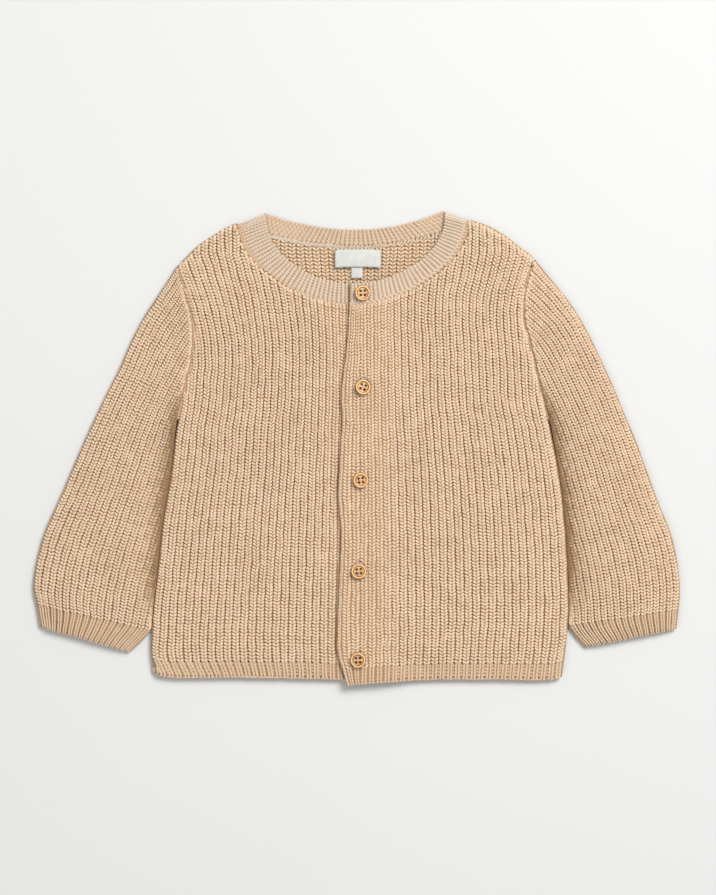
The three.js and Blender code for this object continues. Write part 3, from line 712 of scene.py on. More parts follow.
LAY_STITCHES = stitch_tree()
print(LAY_STITCHES.name, "nodes", len(LAY_STITCHES.nodes))


def run_tree(name, mesh, tree, settings):
    """Run a tree on a mesh and keep the result as a plain object."""
    source = bpy.data.objects.new(name + "_source", mesh)
    bpy.context.collection.objects.link(source)
    modifier = source.modifiers.new("nodes", "NODES")
    modifier.node_group = tree
    identifiers = {
        item.name: item.identifier for item in tree.interface.items_tree if item.in_out == "INPUT"
    }
    for label, value in settings.items():
        modifier[identifiers[label]] = value
    shown = bpy.context.evaluated_depsgraph_get()
    result = bpy.data.meshes.new_from_object(
        source.evaluated_get(shown), preserve_all_data_layers=True, depsgraph=shown
    )
    bpy.data.objects.remove(source)
    bpy.data.meshes.remove(mesh)
    made = bpy.data.objects.new(name, result)
    result.name = name
    bpy.context.collection.objects.link(made)
    return made


# %% Points for stitches on any smooth face
LARGEST = 1.4  # no stitch grows past this many times the usual size of its line


def unit(vectors):
    """The same directions with length 1."""
    return vectors / np.maximum(np.linalg.norm(vectors, axis=-1, keepdims=True), 1e-9)


class Places:
    """Places for stitches, gathered from one face after another."""

    def __init__(self):
        self.kept = []

    def add(self, face, u, v, turn, sink=1.0, du=0.05, dv=0.25, tall=None, crease=0.0):
        """face(u, v) gives points; u counts ribs, and v runs along them in millimetres. Either
        may be one number for the whole line. sink takes the stitches into the face.
        turn is 1 where u, v and the outward direction go round like x, y and z, or else -1.
        The last argument, from 0 to 1, is how much painted shade of a fold a stitch takes."""
        u, v = np.broadcast_arrays(np.asarray(u, dtype=float), np.asarray(v, dtype=float))
        across = (face(u + du, v) - face(u - du, v)) / (2 * du)
        along = (face(u, v + dv) - face(u, v - dv)) / (2 * dv)
        facing = unit(np.cross(across, along)) * turn
        at = face(u, v) - facing * sink
        wide = np.linalg.norm(across, axis=1)
        height = np.linalg.norm(along, axis=1) * (COURSE if tall is None else tall)
        if len(at):
            wide = np.minimum(wide, LARGEST * np.median(wide))
            height = np.minimum(height, LARGEST * np.median(height))
        self.kept.append((at, facing, unit(along), wide, height, crease + 0 * v))
        return self

    def lay(self, name, stitch, yarn, rise=1.0, unevenness=0.06, seed=1, wobble=0.3):
        """Turn the gathered places into one mesh of stitches."""
        at, facing, along, wide, tall, crease = (
            np.concatenate(column) for column in zip(*self.kept)
        )
        mesh = bpy.data.meshes.new(name + "_points")
        mesh.from_pydata(place(at), [], [])
        for label, values in (("facing", facing), ("along", along)):
            layer = mesh.attributes.new(label, "FLOAT_VECTOR", "POINT")
            layer.data.foreach_set("vector", values.astype(np.float32).ravel())
        for label, values in (("wide", wide * MM), ("tall", tall * MM), ("crease", crease)):
            layer = mesh.attributes.new(label, "FLOAT", "POINT")
            layer.data.foreach_set("value", values.astype(np.float32))
        made = run_tree(
            name, mesh, LAY_STITCHES,
            {"Stitch": stitch, "Yarn": yarn, "Rise": rise * MM, "Unevenness": unevenness,
             "Wobble": wobble * MM, "Seed": seed},
        )
        print(name, "stitches", len(at), "faces", len(made.data.polygons))
        return made


# %% [markdown]
# ## The body of the cloth
# Under the stitches lies the cloth itself: a closed shell 2 to 3 mm thick with an outside and
# an inside. It could be grown from one surface with a Solidify modifier, but the two sides of
# each panel differ, so both are laid out here from the same charts as a grid of columns, one
# column along each rib, and joined at the edges. A second small tree then sinks the grooves
# between the ribs, so that their depth and roundness stay easy to change.

# %% The tree that sinks grooves between ribs
def groove_tree():
    """Points with a rib number "rib" and a vector "sink" move down between ribs."""
    tree, given = new_tree(
        "sink_grooves",
        {
            "Roundness": ("Float", 2.0),
            "Face": ("Material", None),
            "Under": ("Material", None),
        },
    )
    rib = add_node(tree, "GeometryNodeInputNamedAttribute", {"data_type": "FLOAT"}, 0, Name="rib")
    sink = add_node(
        tree, "GeometryNodeInputNamedAttribute", {"data_type": "FLOAT_VECTOR"}, 0, Name="sink"
    )
    under = add_node(
        tree, "GeometryNodeInputNamedAttribute", {"data_type": "BOOLEAN"}, 0, Name="under"
    )
    off_crest = (rib.maths("FRACT", rib) * 2 - 1).size()
    depth = off_crest ** given["Roundness"]
    offset = sink.node("ShaderNodeVectorMath", {"operation": "SCALE"}, 0, i0=sink, Scale=depth)
    moved = add_node(tree, "GeometryNodeSetPosition", None, 0, i0=given["Geometry"], Offset=offset)
    real = add_node(tree, "GeometryNodeRealizeInstances", None, 0, i0=moved)
    faced = add_node(tree, "GeometryNodeSetMaterial", None, 0, i0=real, Material=given["Face"])
    end_tree(tree, add_node(
        tree, "GeometryNodeSetMaterial", None, 0, i0=faced, Selection=under, Material=given["Under"]
    ))
    return tree


SINK_GROOVES = groove_tree()
print(SINK_GROOVES.name, "nodes", len(SINK_GROOVES.nodes))


# %% A closed shell, and its measures
def shell(name, upper, lower, ribs, courses, sink_upper, sink_lower=0.0, face=GROUND):
    """A closed shell between two grids of points of [columns, rows], in millimetres.
    Columns run towards +x and rows towards +y."""
    columns, rows = upper.shape[:2]
    number = np.arange(columns * rows).reshape(columns, rows)
    low = number + columns * rows

    def quads(a, b, c, d):
        return np.stack([a.ravel(), b.ravel(), c.ravel(), d.ravel()], axis=1)

    n = number
    faces = [
        quads(n[:-1, :-1], n[1:, :-1], n[1:, 1:], n[:-1, 1:]),
        quads(low[:-1, 1:], low[1:, 1:], low[1:, :-1], low[:-1, :-1]),
        quads(low[:-1, 0], low[1:, 0], n[1:, 0], n[:-1, 0]),
        quads(n[:-1, -1], n[1:, -1], low[1:, -1], low[:-1, -1]),
        quads(n[0, :-1], n[0, 1:], low[0, 1:], low[0, :-1]),
        quads(low[-1, :-1], low[-1, 1:], n[-1, 1:], n[-1, :-1]),
    ]
    points = place(np.concatenate([upper.reshape(-1, 3), lower.reshape(-1, 3)]))
    mesh = bpy.data.meshes.new(name + "_plain")
    mesh.from_pydata(points, [], np.concatenate(faces).tolist())
    flags = np.zeros(sum(len(f) for f in faces), dtype=bool)
    flags[len(faces[0]) :] = True
    mesh.attributes.new("under", "BOOLEAN", "FACE").data.foreach_set("value", flags)
    rib = np.broadcast_to(ribs, (columns, rows)) if np.ndim(ribs) < 2 else ribs
    rib = np.concatenate([rib.ravel(), rib.ravel()]).astype(np.float32)
    mesh.attributes.new("rib", "FLOAT", "POINT").data.foreach_set("value", rib)
    sinks = np.zeros((2, columns, rows, 3), dtype=np.float32)
    sinks[0, ..., :] = sink_upper
    sinks[1, ..., :] = sink_lower
    mesh.attributes.new("sink", "FLOAT_VECTOR", "POINT").data.foreach_set(
        "vector", (sinks * MM).ravel()
    )
    course = np.concatenate([courses.ravel(), courses.ravel()])
    uv = np.stack([rib, course], axis=1)
    loops = np.empty(len(mesh.loops), dtype=np.int32)
    mesh.loops.foreach_get("vertex_index", loops)
    mesh.uv_layers.new(name="UVMap").data.foreach_set("uv", uv[loops].astype(np.float32).ravel())
    mesh.shade_smooth()
    made = run_tree(
        name, mesh, SINK_GROOVES, {"Roundness": 2.0, "Face": face, "Under": OUTSIDE}
    )
    print(name, "faces", len(made.data.polygons))
    return made


def area_of(points):
    """Flat area of a grid of points, in square metres."""
    a, b, c, d = points[:-1, :-1], points[1:, :-1], points[1:, 1:], points[:-1, 1:]
    halves = np.linalg.norm(np.cross(b - a, c - a), axis=-1) + np.linalg.norm(
        np.cross(c - a, d - a), axis=-1
    )
    return float(halves.sum()) / 2 * MM * MM


def down(depth):
    """A vector straight down for each depth."""
    depth = np.asarray(depth, dtype=float)
    return np.stack([np.zeros_like(depth), np.zeros_like(depth), -depth], axis=-1)


# %% [markdown]
# ## The two fronts
# Each front is a flat panel of 26 ribs and a narrow edge by the buttons. The left one laps
# over the right one. At the sides the cloth curls down to the fold where the front meets the
# back; at the armhole and neck it is drawn down into a seam; at the shoulder it rolls over.
# A flat outline given thickness would miss all of this, so the height comes from the distance
# to each of these edges.

# %% The smooth outer face of a front
SIDE_FOLD, SHOULDER_FOLD = 5.5, 4.5  # the cloth curls down over these widths
SEAM_DIP, SEAM_RUN = 1.1, 2.2  # how deep and how wide a seam draws the cloth down
SEAM_WIDE = 2.4  # width of the column of stitches beside a seam
SEAM_LEVEL = 0.45  # height of the stitches in the seam itself
ARMHOLE_GAP = 0.75  # between the front and the sleeve
SEWN_OVER = 22.0  # the side fold turns into the armhole seam over this height
HEM_THIN = 0.3  # the hem is thinner than the body by this
HEM_LEAN = {"right": 0.34, "left": 0.0}  # how far the hem's cords lean, as a slope
LAST_ROW = 0.9  # the last row of stitches stops this far below a seam
CORD_SINK = 1.35  # the hem's cords and the stitches that wrap round a fold lie this deep


def seam_dip(distance):
    """How far the cloth is drawn down at a distance from a seam."""
    return SEAM_DIP * (1 - np.clip(distance / SEAM_RUN, 0, 1))


def front_face(side):
    """Points of the smooth outside of a front, by rib and height."""

    def face(rib, y):
        out = rib_out(side, rib, y)
        x = out * SIGN[side]
        to_side = half_width(side, y) - out
        folded = FOLD_LIP + (WALL - FOLD_LIP) * rounded(to_side, SIDE_FOLD)
        height = blend(folded, WALL - seam_dip(to_side), ease(UNDERARM - SEWN_OVER, UNDERARM, y))
        reach = np.where(x >= NECK_X, neck_reach(NECK_X + 1), neck_reach(NECK_X - 1))
        to_shoulder = SHOULDER[side].read("y", out) - y
        rolled = FOLD_LIP + (height - FOLD_LIP) * rounded(to_shoulder, SHOULDER_FOLD)
        to_neck = neck_height("seam", x, NECK_CLEAR) - NECK_GAP - y
        height = np.where(np.abs(x - NECK_X) >= reach, rolled, height - seam_dip(to_neck))
        return np.stack([x, y, lift_of(side, out) + np.maximum(height, FOLD_LIP)], axis=-1)

    return face


# %% The shell of a front
BODY_GROOVE = 0.95
EDGE_WALL, GROOVE_WALL = 0.35, 0.4  # cloth left under the lowered face, and under a groove
ARMHOLE_LINES = [23.4, 23.5, 23.6, 23.7, 23.8, 23.9, 24, 24.25, 24.5, 24.75, 25, 25.25, 25.5,
                 25.75, 26]


def rows_between(bottom, top, count):
    """Heights along a rib line, closer together near its two ends."""
    hem = bottom + np.array([0, 0.8, 3, 6, 9, HEM_DEPTH, HEM_DEPTH + 1.5])
    ends = top - np.array([3.4, 2.2, 1.2, 0.5, 0.0])
    middle = np.linspace(hem[-1], ends[0], count + 2)[1:-1]
    return np.concatenate([hem, middle, ends])


def front_shell(side):
    """The cloth of a front, and its flat area."""
    lines = np.concatenate([np.arange(-EDGE_RIBS, 23.01, 0.25), ARMHOLE_LINES])
    ends = [rib_ends(side, rib, front_neckline) for rib in lines]
    y = np.array([rows_between(e["bottom"], e["top"], 34) for e in ends])
    rib = np.repeat(lines[:, None], y.shape[1], axis=1)
    bottom = np.array([e["bottom"] for e in ends])[:, None]
    upper = front_face(side)(rib, y)
    flat = upper.copy()
    out = np.abs(upper[..., 0])
    lower = upper.copy()
    lower[..., 2] = lift_of(side, rib_out(side, rib, y))
    edge = (y - bottom < 0.1) | (rib < 0.1 - EDGE_RIBS)
    hem = HEM_THIN * (1 - ease(HEM_DEPTH - 1, HEM_DEPTH + 2, y - bottom))
    thick = upper[..., 2] - lower[..., 2]
    deep = blend(0.6, 1.0, ease(UNDERLAP, OVERLAP_END + RAMP / 2, rib_out(side, rib, y)))
    sunk = np.minimum(SINK * deep + hem + 0.5 * edge, np.maximum(thick - EDGE_WALL, 0.0))
    upper[..., 2] -= sunk
    groove = np.minimum(BODY_GROOVE * deep, np.maximum(thick - sunk - GROOVE_WALL, 0.0))
    courses = (y - bottom) / COURSE
    if side == "right":
        upper, lower, rib = upper[::-1], lower[::-1], rib[::-1]
        courses, groove = courses[::-1], groove[::-1]
    made = shell("front_" + side + "_cloth", upper, lower, rib, courses, down(groove))
    return made, area_of(flat)


# %% [markdown]
# ## Stitches on the fronts
# A front is columns of stitches: the legs of the ribs, smooth cords with purls between them in
# the hem, and single lines where it is cast on along the bottom, edged by the buttons, and
# joined at the armhole. A short cord goes round each buttonhole that shows. One column could be
# repeated with an array, but the ribs draw together towards the armhole, and each has its own
# length, so points are set out rib by rib and the tree lays a stitch on each.

# %% Cords round the buttonholes
def leg_lines(side, first, last):
    """The rib lines of both legs of each stitch, and which way each leg leans."""
    for rib in np.arange(first, last, 1.0):
        for lean, way in (("left", -1), ("right", 1)):
            yield rib + way * SIGN[side] * LEG_APART, lean


# The buttons, from the hem up, with how each is turned and tipped. The cord of a
# buttonhole shows above three of them.
BUTTONS = [
    {"x": -1.2, "y": 13.8, "turn": 2, "tip": (4, -3)},
    {"x": -0.7, "y": 71.5, "turn": 4, "tip": (2, -2)},
    {"x": 0.4, "y": 130.5, "turn": 8, "tip": (0, 3)},
    {"x": 1.7, "y": 191.0, "turn": -18, "tip": (-2, 9)},
    {"x": 1.7, "y": 252.2, "turn": 3, "tip": (3, 2)},
]
OPEN_HOLES = (1, 2, 4)
CORD_RADIUS, CORD_PEAK = 5.9, 1.1  # the cord runs round a button, and further out at its top
CORD_FROM = 0.8  # angle of its two ends
LINE_TALL = 0.17  # size of a stitch in a line that runs by an angle, or by shares of the neckband


def buttonholes():
    """A short arc of cord above each button whose hole shows."""
    cord = Places()
    for number in OPEN_HOLES:
        at = BUTTONS[number - 1]

        def arc(steps, angle):
            peak = np.exp(-(((angle - np.pi / 2) / 0.4) ** 2))
            radius = CORD_RADIUS + CORD_PEAK * peak + 1.7 * steps
            x, y = at["x"] + radius * np.cos(angle), at["y"] + radius * np.sin(angle)
            return np.stack([x, y, lift_of("left", x) + WALL], axis=-1)

        angle = np.linspace(CORD_FROM, np.pi - CORD_FROM, 11)
        cord.add(arc, 0.0, angle, 1, sink=0.5, dv=0.02, tall=LINE_TALL)
    return cord


# %% The stitches of a front
EDGE_LINE = -2.25  # the line of edging by the buttons, in ribs
CAST_ON_UP = 0.45  # the cast-on line lies this far above the very edge


def front_stitches(side):
    """All the stitches of a front, as a list of pieces."""
    face, turn = front_face(side), SIGN[side]
    legs = {"left": Places(), "right": Places()}
    slim, purl, seam, sewing = Places(), Places(), Places(), Places()
    for rib, lean in leg_lines(side, -1.5, 26):
        start = rib_bottom(side, rib) + HEM_DEPTH + COURSE * 0.2
        top = rib_top(side, rib, front_neckline)[0] - LAST_ROW
        whole = rib_top(side, np.floor(rib) + 0.5, front_neckline)[0] - LAST_ROW
        rows = round(((whole if abs(whole - top) < 3 else top) - start) / COURSE) + 1
        y = np.linspace(start, top, max(rows, 2))
        legs[lean].add(face, rib, y, turn)

    def down_hem(places, first, start, stop, sink):
        """Rows of stitches down the hem, which lean the way the photographed one does."""
        for rib in np.arange(first, 28, 1.0):
            below = HEM_DEPTH - np.arange(start, stop, COURSE)
            leant = rib - HEM_LEAN[side] * ease(4, 24, rib) * np.maximum(below, 0) / WALE
            y = rib_bottom(side, min(rib, 26)) + HEM_DEPTH - below
            kept = leant < 26.0
            if kept.any():
                places.add(face, leant[kept], y[kept], turn, sink=sink)

    down_hem(slim, -1.5, COURSE * 0.9, HEM_DEPTH + 0.8, CORD_SINK)
    down_hem(purl, -2.0, COURSE * 1.4, HEM_DEPTH, 2.1)
    ends = rib_ends(side, EDGE_LINE, front_neckline)
    y = np.arange(ends["bottom"] + COURSE / 2, ends["top"] - 0.5, COURSE)
    edge = Places().add(face, EDGE_LINE, y, turn, sink=1.4)
    rib = np.arange(EDGE_LINE, 26, 0.5)
    cast_on = Places().add(
        face, rib, np.array([rib_bottom(side, r) for r in rib]) + CAST_ON_UP, turn, sink=CORD_SINK
    )

    def by_armhole(steps, y):
        out = half_width(side, y) - SEAM_WIDE * steps
        return face(out * ribs_at(y) / half_width(side, y), y)

    def over_seam(steps, y):
        out = half_width(side, y) + SEAM_WIDE * steps + ARMHOLE_GAP / 2
        return np.stack([out * SIGN[side], y, np.full_like(out, LAYER + SEAM_LEVEL)], axis=-1)

    y = np.arange(UNDERARM - 6, SHOULDER_POINT - 9, COURSE)
    seam.add(by_armhole, 0.3, y, -turn, sink=1.5)
    y = np.arange(UNDERARM - 9, SHOULDER_POINT - 10, COURSE * 0.8)
    sewing.add(over_seam, 0.0, y, turn, sink=0.0, tall=COURSE * 0.8)
    name = "front_" + side
    extra = []
    if side == "left":
        extra = [buttonholes().lay("buttonhole_cord", EDGING, HEM_YARN, 0.9, 0.08, 18)]
    return extra + [
        legs["left"].lay(name + "_left_legs", LEG["left"], YARN, 1.0, 0.1, 11, 0.45),
        legs["right"].lay(name + "_right_legs", LEG["right"], YARN, 1.0, 0.1, 12, 0.45),
        slim.lay(name + "_hem_ribs", SLIM, HEM_YARN, 0.95, 0.04, 13),
        purl.lay(name + "_hem_purls", PURL, YARN, 0.6, 0.1, 14),
        edge.lay(name + "_edge", EDGING, HEM_YARN, 0.9, 0.05, 15),
        seam.lay(name + "_seam", SINGLE, YARN, 0.9, 0.08, 16),
        sewing.lay(name + "_sewing", SINGLE, SEAM_YARN, 0.9, 0.08, 19),
        cast_on.lay(name + "_cast_on", PURL, HEM_YARN, 0.9, 0.08, 17),
    ]


# %% [markdown]
# ## The back
# Only the part inside the neck shows from above, and there it is the inside of the knitting:
# its legs lie flatter than those of the fronts. The outside of the back rests on the table. The
# whole panel could be stitched over, but nobody would see it, so the grooves and the legs are
# made in the window of the neck alone, and fade out under the fronts.

# %% The back panel
WINDOW_Y, WINDOW_RIBS = 236.0, 13  # the window starts at this height, this many ribs wide
BACK_COURSE = 2.4
BACK_SUNK, BACK_GROOVE = 0.9, 0.5
UNDER_FOLD = 4.0  # width over which an underside curls up to a fold


def back_face(side):
    """Points of the inside of the back, by rib and height."""

    def face(rib, y):
        x = rib_out(side, rib, y) * SIGN[side]
        return np.stack([x, y, np.full_like(x, WALL)], axis=-1)

    return face


def back_shell():
    """The cloth of the back, and its flat area."""
    half = np.concatenate([np.arange(0.25, 14.01, 0.25), np.arange(15, 23.5, 0.5), ARMHOLE_LINES])
    signed = [("right", rib) for rib in half[::-1]] + [("left", 0.0)]
    signed += [("left", rib) for rib in half]
    upper, lower, ribs, courses, grooves = [], [], [], [], []
    for side, rib in signed:
        ends = rib_ends(side, rib, back_neckline)
        bottom = max(ends["bottom"], 1.0)
        y = rows_between(bottom, ends["top"], 34)
        out = rib_out(side, np.full_like(y, rib), y)
        x = out * SIGN[side]
        curl = (1 - rounded(half_width(side, y) - out, UNDER_FOLD)) * (
            1 - ease(UNDERARM - SEWN_OVER, UNDERARM, y)
        )
        if ends["into"] == "shoulder":
            curl = np.maximum(curl, 1 - rounded(ends["top"] - y, UNDER_FOLD))
        shows = ease(WINDOW_Y, WINDOW_Y + 8, y) if rib < WINDOW_RIBS else 0 * y
        shows = shows * ease(0, SEAM_RUN, ends["top"] - y)
        upper.append(np.stack([x, y, WALL - BACK_SUNK * shows], axis=-1))
        lower.append(np.stack([x, y, (WALL - FOLD_LIP) * curl], axis=-1))
        ribs.append(np.full_like(y, rib))
        courses.append((y - bottom) / COURSE)
        grooves.append(BACK_GROOVE * shows)
    upper, lower = np.array(upper), np.array(lower)
    made = shell(
        "back_cloth", upper, lower, np.array(ribs), np.array(courses), down(np.array(grooves))
    )
    return made, area_of(upper)


def back_stitches():
    """The legs of the stitches in the neck's window."""
    legs = {"left": Places(), "right": Places()}
    for side in ("right", "left"):
        for rib, lean in leg_lines(side, 0.5, 13):
            top = rib_top(side, rib, back_neckline)[0]
            y = np.arange(WINDOW_Y + 2, top - 0.2, BACK_COURSE)
            legs[lean].add(back_face(side), rib, y, SIGN[side], sink=0.85, tall=BACK_COURSE)
    return [legs[lean].lay("back_" + lean + "_legs", INSIDE_LEG[lean], YARN, 0.95, 0.09, 21)
            for lean in legs]


# %% [markdown]
# ## The sleeves
# A sleeve is a tube of rib pressed flat, with its cap sewn into the armhole. Beside the body it
# turns down into a fold, and there the light that has passed through the wool makes a warm
# brown crease. It is painted into the colour of the stitches as a shade that fades away from the
# body.
#
# It could be lofted from rings. Here it is one sheet that starts at the edge beside the body,
# runs over the top to the outer fold, and comes back underneath, so that the ribs can be counted
# from the outer fold both ways. A hollow is left inside that opens at the cuff and into the
# armhole. Rows are numbered from the cuff: 1 ends the cuff, 8.5 is the underarm, 16 the cap.

# %% Sleeve rows
# "out" and "y" are the outer fold, "inY" the height of the inner edge, "away" its distance from
# the body, "ribs" the ribs across the top, and "air" the height of the hollow.
SLEEVE_NAMES = ("t", "out", "y", "inY", "away", "ribs", "air")
SLEEVE_ROWS = {
    "right": [
        (208.0, 35.1, 18.9, 13.4, 17, 0.5),
        (210.4, 49.4, 32.5, 0.3, 17, 1.0),
        (212.5, 61.1, 44.2, 0, 16.6, 1.7),
        (210.0, 78.7, 59.8, 0, 16.2, 2.3),
        (204.5, 98.2, 78.7, 0, 15.6, 2.5),
        (195.7, 117.7, 99.5, 0, 14.9, 2.4),
        (187.3, 137.2, 120.3, 0, 14.2, 2.2),
        (178.3, 158.0, 143.0, 0, 13.6, 2.0),
        (169.8, 176.2, 159.3, 0, 12.9, 1.8),
        (162.8, 190.5, 173.6, 0, 12.1, 1.6),
        (155.3, 205.4, 187.9, 0, 11.2, 1.4),
        (148.6, 221.0, 202.8, 0, 10.3, 1.2),
        (139.8, 237.9, 218.4, 0, 8.8, 1.0),
        (131.3, 250.9, 233.4, 0, 6.7, 0.8),
        (125.0, 260.5, 248.3, 0, 4.2, 0.6),
        (120.6, 267.4, 262.5, 0, 1.2, 0.4),
        (119.6, 269.4, 268.2, 0, 0.4, 0.3),
    ],
    "left": [
        (206.0, 33.8, 22.1, 12.5, 17, 0.5),
        (207.4, 46.2, 35.4, 0.6, 17, 1.0),
        (208.3, 59.2, 48.0, 0, 16.6, 1.7),
        (206.7, 76.7, 62.4, 0, 16.2, 2.3),
        (202.2, 96.2, 79.3, 0, 15.6, 2.5),
        (194.3, 115.7, 97.8, 0, 14.9, 2.4),
        (186.5, 137.2, 119.9, 0, 14.2, 2.2),
        (179.4, 156.7, 141.0, 0, 13.6, 2.0),
        (171.6, 174.9, 158.6, 0, 12.9, 1.8),
        (164.5, 192.4, 175.5, 0, 12.1, 1.6),
        (157.3, 208.0, 191.1, 0, 11.2, 1.4),
        (149.5, 224.3, 206.1, 0, 10.3, 1.2),
        (140.4, 240.5, 220.4, 0, 8.8, 1.0),
        (130.7, 253.5, 234.7, 0, 6.7, 0.8),
        (122.4, 263.7, 249.6, 0, 4.2, 0.6),
        (116.2, 271.2, 266.0, 0, 1.2, 0.4),
        (114.0, 274.4, 273.4, 0, 0.4, 0.3),
    ],
}
SLEEVE = {
    side: Table(SLEEVE_NAMES, [(t, *row) for t, row in enumerate(rows)])
    for side, rows in SLEEVE_ROWS.items()
}
CUFF_ROW, CAP_ROW, UNDERARM_ROW = 1.0, 16.0, 8.5
SIDE_GAP = 0.3  # between the sleeve and the body below the underarm
OUTER_CURL, INNER_CURL = 8.0, 11.0  # the top curls down over these widths at its two folds
SEAM_CURL, SEAM_HEIGHT = 5.0, 0.62  # and to this share of its height at the armhole seam
CREASE_RUN = 5.5  # the warm painted shade beside the body fades over this distance
CREASE_START, CREASE_END = (0.5, 4), (8.5, 11)  # rows where the painted shade of the crease comes and goes


def sewn_row(t):
    """0 where the inner edge is a fold, 1 where it is sewn into the armhole."""
    return ease(UNDERARM_ROW - 2, UNDERARM_ROW + 0.5, t)


def sleeve_row(side, t):
    """Both ends of a row in plan, how many ribs it has, and the height of its hollow."""
    out, y, in_y, away, ribs, air = (SLEEVE[side].read(name, t) for name in SLEEVE_NAMES[1:])
    gap = blend(SIDE_GAP, ARMHOLE_GAP, sewn_row(t))
    inner_out = half_width(side, in_y) + gap + np.maximum(away, 0)
    outer = np.stack([out, y], axis=-1)
    inner = np.stack([inner_out, in_y], axis=-1)
    return outer, inner, ribs, air


def sleeve_plan(side, rib, t):
    """A place in plan, its distance from both ends of its row, and the hollow there."""
    outer, inner, ribs, air = sleeve_row(side, t)
    share = np.clip(rib / ribs, 0, 1)
    length = np.linalg.norm(inner - outer, axis=-1)
    return outer + (inner - outer) * share[..., None], share * length, (1 - share) * length, air


def sleeve_face(side):
    """The smooth outside of a sleeve, by rib from the outer fold and by row. Below 0 and
    past the last rib it goes on round the folds to the underside."""

    def face(rib, t):
        ribs = SLEEVE[side].read("ribs", t)
        round_fold = (rib < 0) | (rib > ribs)
        inner_open = (rib > ribs) & (t > UNDERARM_ROW)
        rib = np.where(rib < 0, -rib, np.where((rib > ribs) & ~inner_open, 2 * ribs - rib, rib))
        upper, lower = sleeve_upper(side, rib, t), sleeve_under(side, rib, t)
        return np.where((round_fold & ~inner_open)[..., None], lower, upper)

    return face


def sleeve_upper(side, rib, t):
    """Points of the smooth top of a sleeve."""
    at, to_outer, to_inner, air = sleeve_plan(side, rib, t)
    sewn = sewn_row(t)
    hollow = air * ease(2, 22, to_outer) * blend(ease(2, 20, to_inner), 1, sewn)
    by_seam = SEAM_HEIGHT + (1 - SEAM_HEIGHT) * rounded(to_inner, SEAM_CURL)
    inner = blend(rounded(to_inner, INNER_CURL), by_seam, sewn)
    z = LAYER + (WALL + hollow) * rounded(to_outer, OUTER_CURL) * inner
    return np.concatenate([at * [SIGN[side], 1], z[..., None]], axis=-1)


def sleeve_under(side, rib, t):
    """Points of its underside, flat on the table and curled up at the folds."""
    at, to_outer, to_inner, _ = sleeve_plan(side, rib, t)
    to_fold = np.minimum(to_outer, to_inner + sewn_row(t) * UNDER_FOLD)
    z = LAYER * (1 - rounded(to_fold, UNDER_FOLD))
    return np.concatenate([at * [SIGN[side], 1], z[..., None]], axis=-1)


def row_places(side):
    """Rows of the sleeve one course apart, from the cuff's edge to the cap."""
    t = np.linspace(0, CAP_ROW, 1500)
    outer, inner, _, _ = sleeve_row(side, t)
    middle = (outer + inner) / 2
    run = np.concatenate([[0], np.cumsum(np.linalg.norm(np.diff(middle, axis=0), axis=1))])
    return t, run


print("sleeve lengths", *(row_places(side)[1][-1].round(1) for side in SIGN))

# %% Sleeve cloth
FROM_FOLD = 5.0  # the hollow stops this far inside a fold
SLEEVE_GROOVE = 0.85


def sleeve_shell(side):
    """The cloth of a sleeve, all round, and its flat area."""
    t = np.concatenate(
        [[0, 0.06, 0.5], np.linspace(1, CAP_ROW - 0.35, 46), [CAP_ROW - 0.15, CAP_ROW]]
    )
    top_share = 1 - (1 - np.cos(np.linspace(0, np.pi, 69))) / 2
    share = np.concatenate([top_share, top_share[::-1][1:]])  # inner edge, outer fold, inner edge
    on_top = np.arange(len(share)) < len(top_share)
    grid_t, grid_share = np.meshgrid(t, share)
    outer, inner, ribs, air = sleeve_row(side, grid_t)
    rib = grid_share * ribs
    above = sleeve_upper(side, rib, grid_t)
    under = sleeve_under(side, rib, grid_t)
    cuff = HEM_THIN * (1 - ease(0.9, 1.2, grid_t)) + 0.5 * (grid_t < 0.01)
    thick = above[..., 2] - LAYER
    sunk = np.minimum(SINK + cuff, np.maximum(thick - 0.1, 0))
    above[..., 2] -= sunk
    outside = np.where(on_top[:, None, None], above, under)
    groove = np.minimum(SLEEVE_GROOVE, np.maximum(thick - sunk - GROOVE_WALL, 0))
    groove = np.where(on_top[:, None], groove, 0)

    length = np.linalg.norm(inner - outer, axis=-1)
    sewn = ease(UNDERARM_ROW - 0.5, UNDERARM_ROW + 0.5, grid_t)
    start = np.minimum(FROM_FOLD, length * 0.4) / length
    stop = 1 - blend(FROM_FOLD, 0.0, sewn) / length
    within = start + (stop - start) * grid_share
    at = outer + (inner - outer) * within[..., None]
    middle = WALL + AIR / 2
    swell = np.sin(np.pi * np.clip(np.where(sewn > 0.5, np.minimum(within, 0.5), within), 0, 1))
    lift = np.where(on_top[:, None], AIR / 2 + air * 0.9 * swell, -AIR / 2)
    inside = np.concatenate([at * [SIGN[side], 1], (middle + lift)[..., None]], axis=-1)
    inside[..., 2] = np.where(
        on_top[:, None], np.minimum(inside[..., 2], outside[..., 2] - groove - 0.25), inside[..., 2]
    )

    steps, run = row_places(side)
    courses = np.interp(grid_t, steps, run) / COURSE
    if side == "left":
        outside, inside = outside[::-1], inside[::-1]
        rib, courses, groove = rib[::-1], courses[::-1], groove[::-1]
    made = shell("sleeve_" + side + "_cloth", outside, inside, rib, courses, down(groove))
    return made, area_of(outside)


# %% [markdown]
# ## Stitches on the sleeves
# The ribs run along the sleeve from the cuff, and end one by one where the cap meets the
# armhole. They go on round both folds as far as they can be seen. Even steps of the row number
# would stretch them where the chart's rows lie far apart, so the rows are spaced by the real
# length along the sleeve.

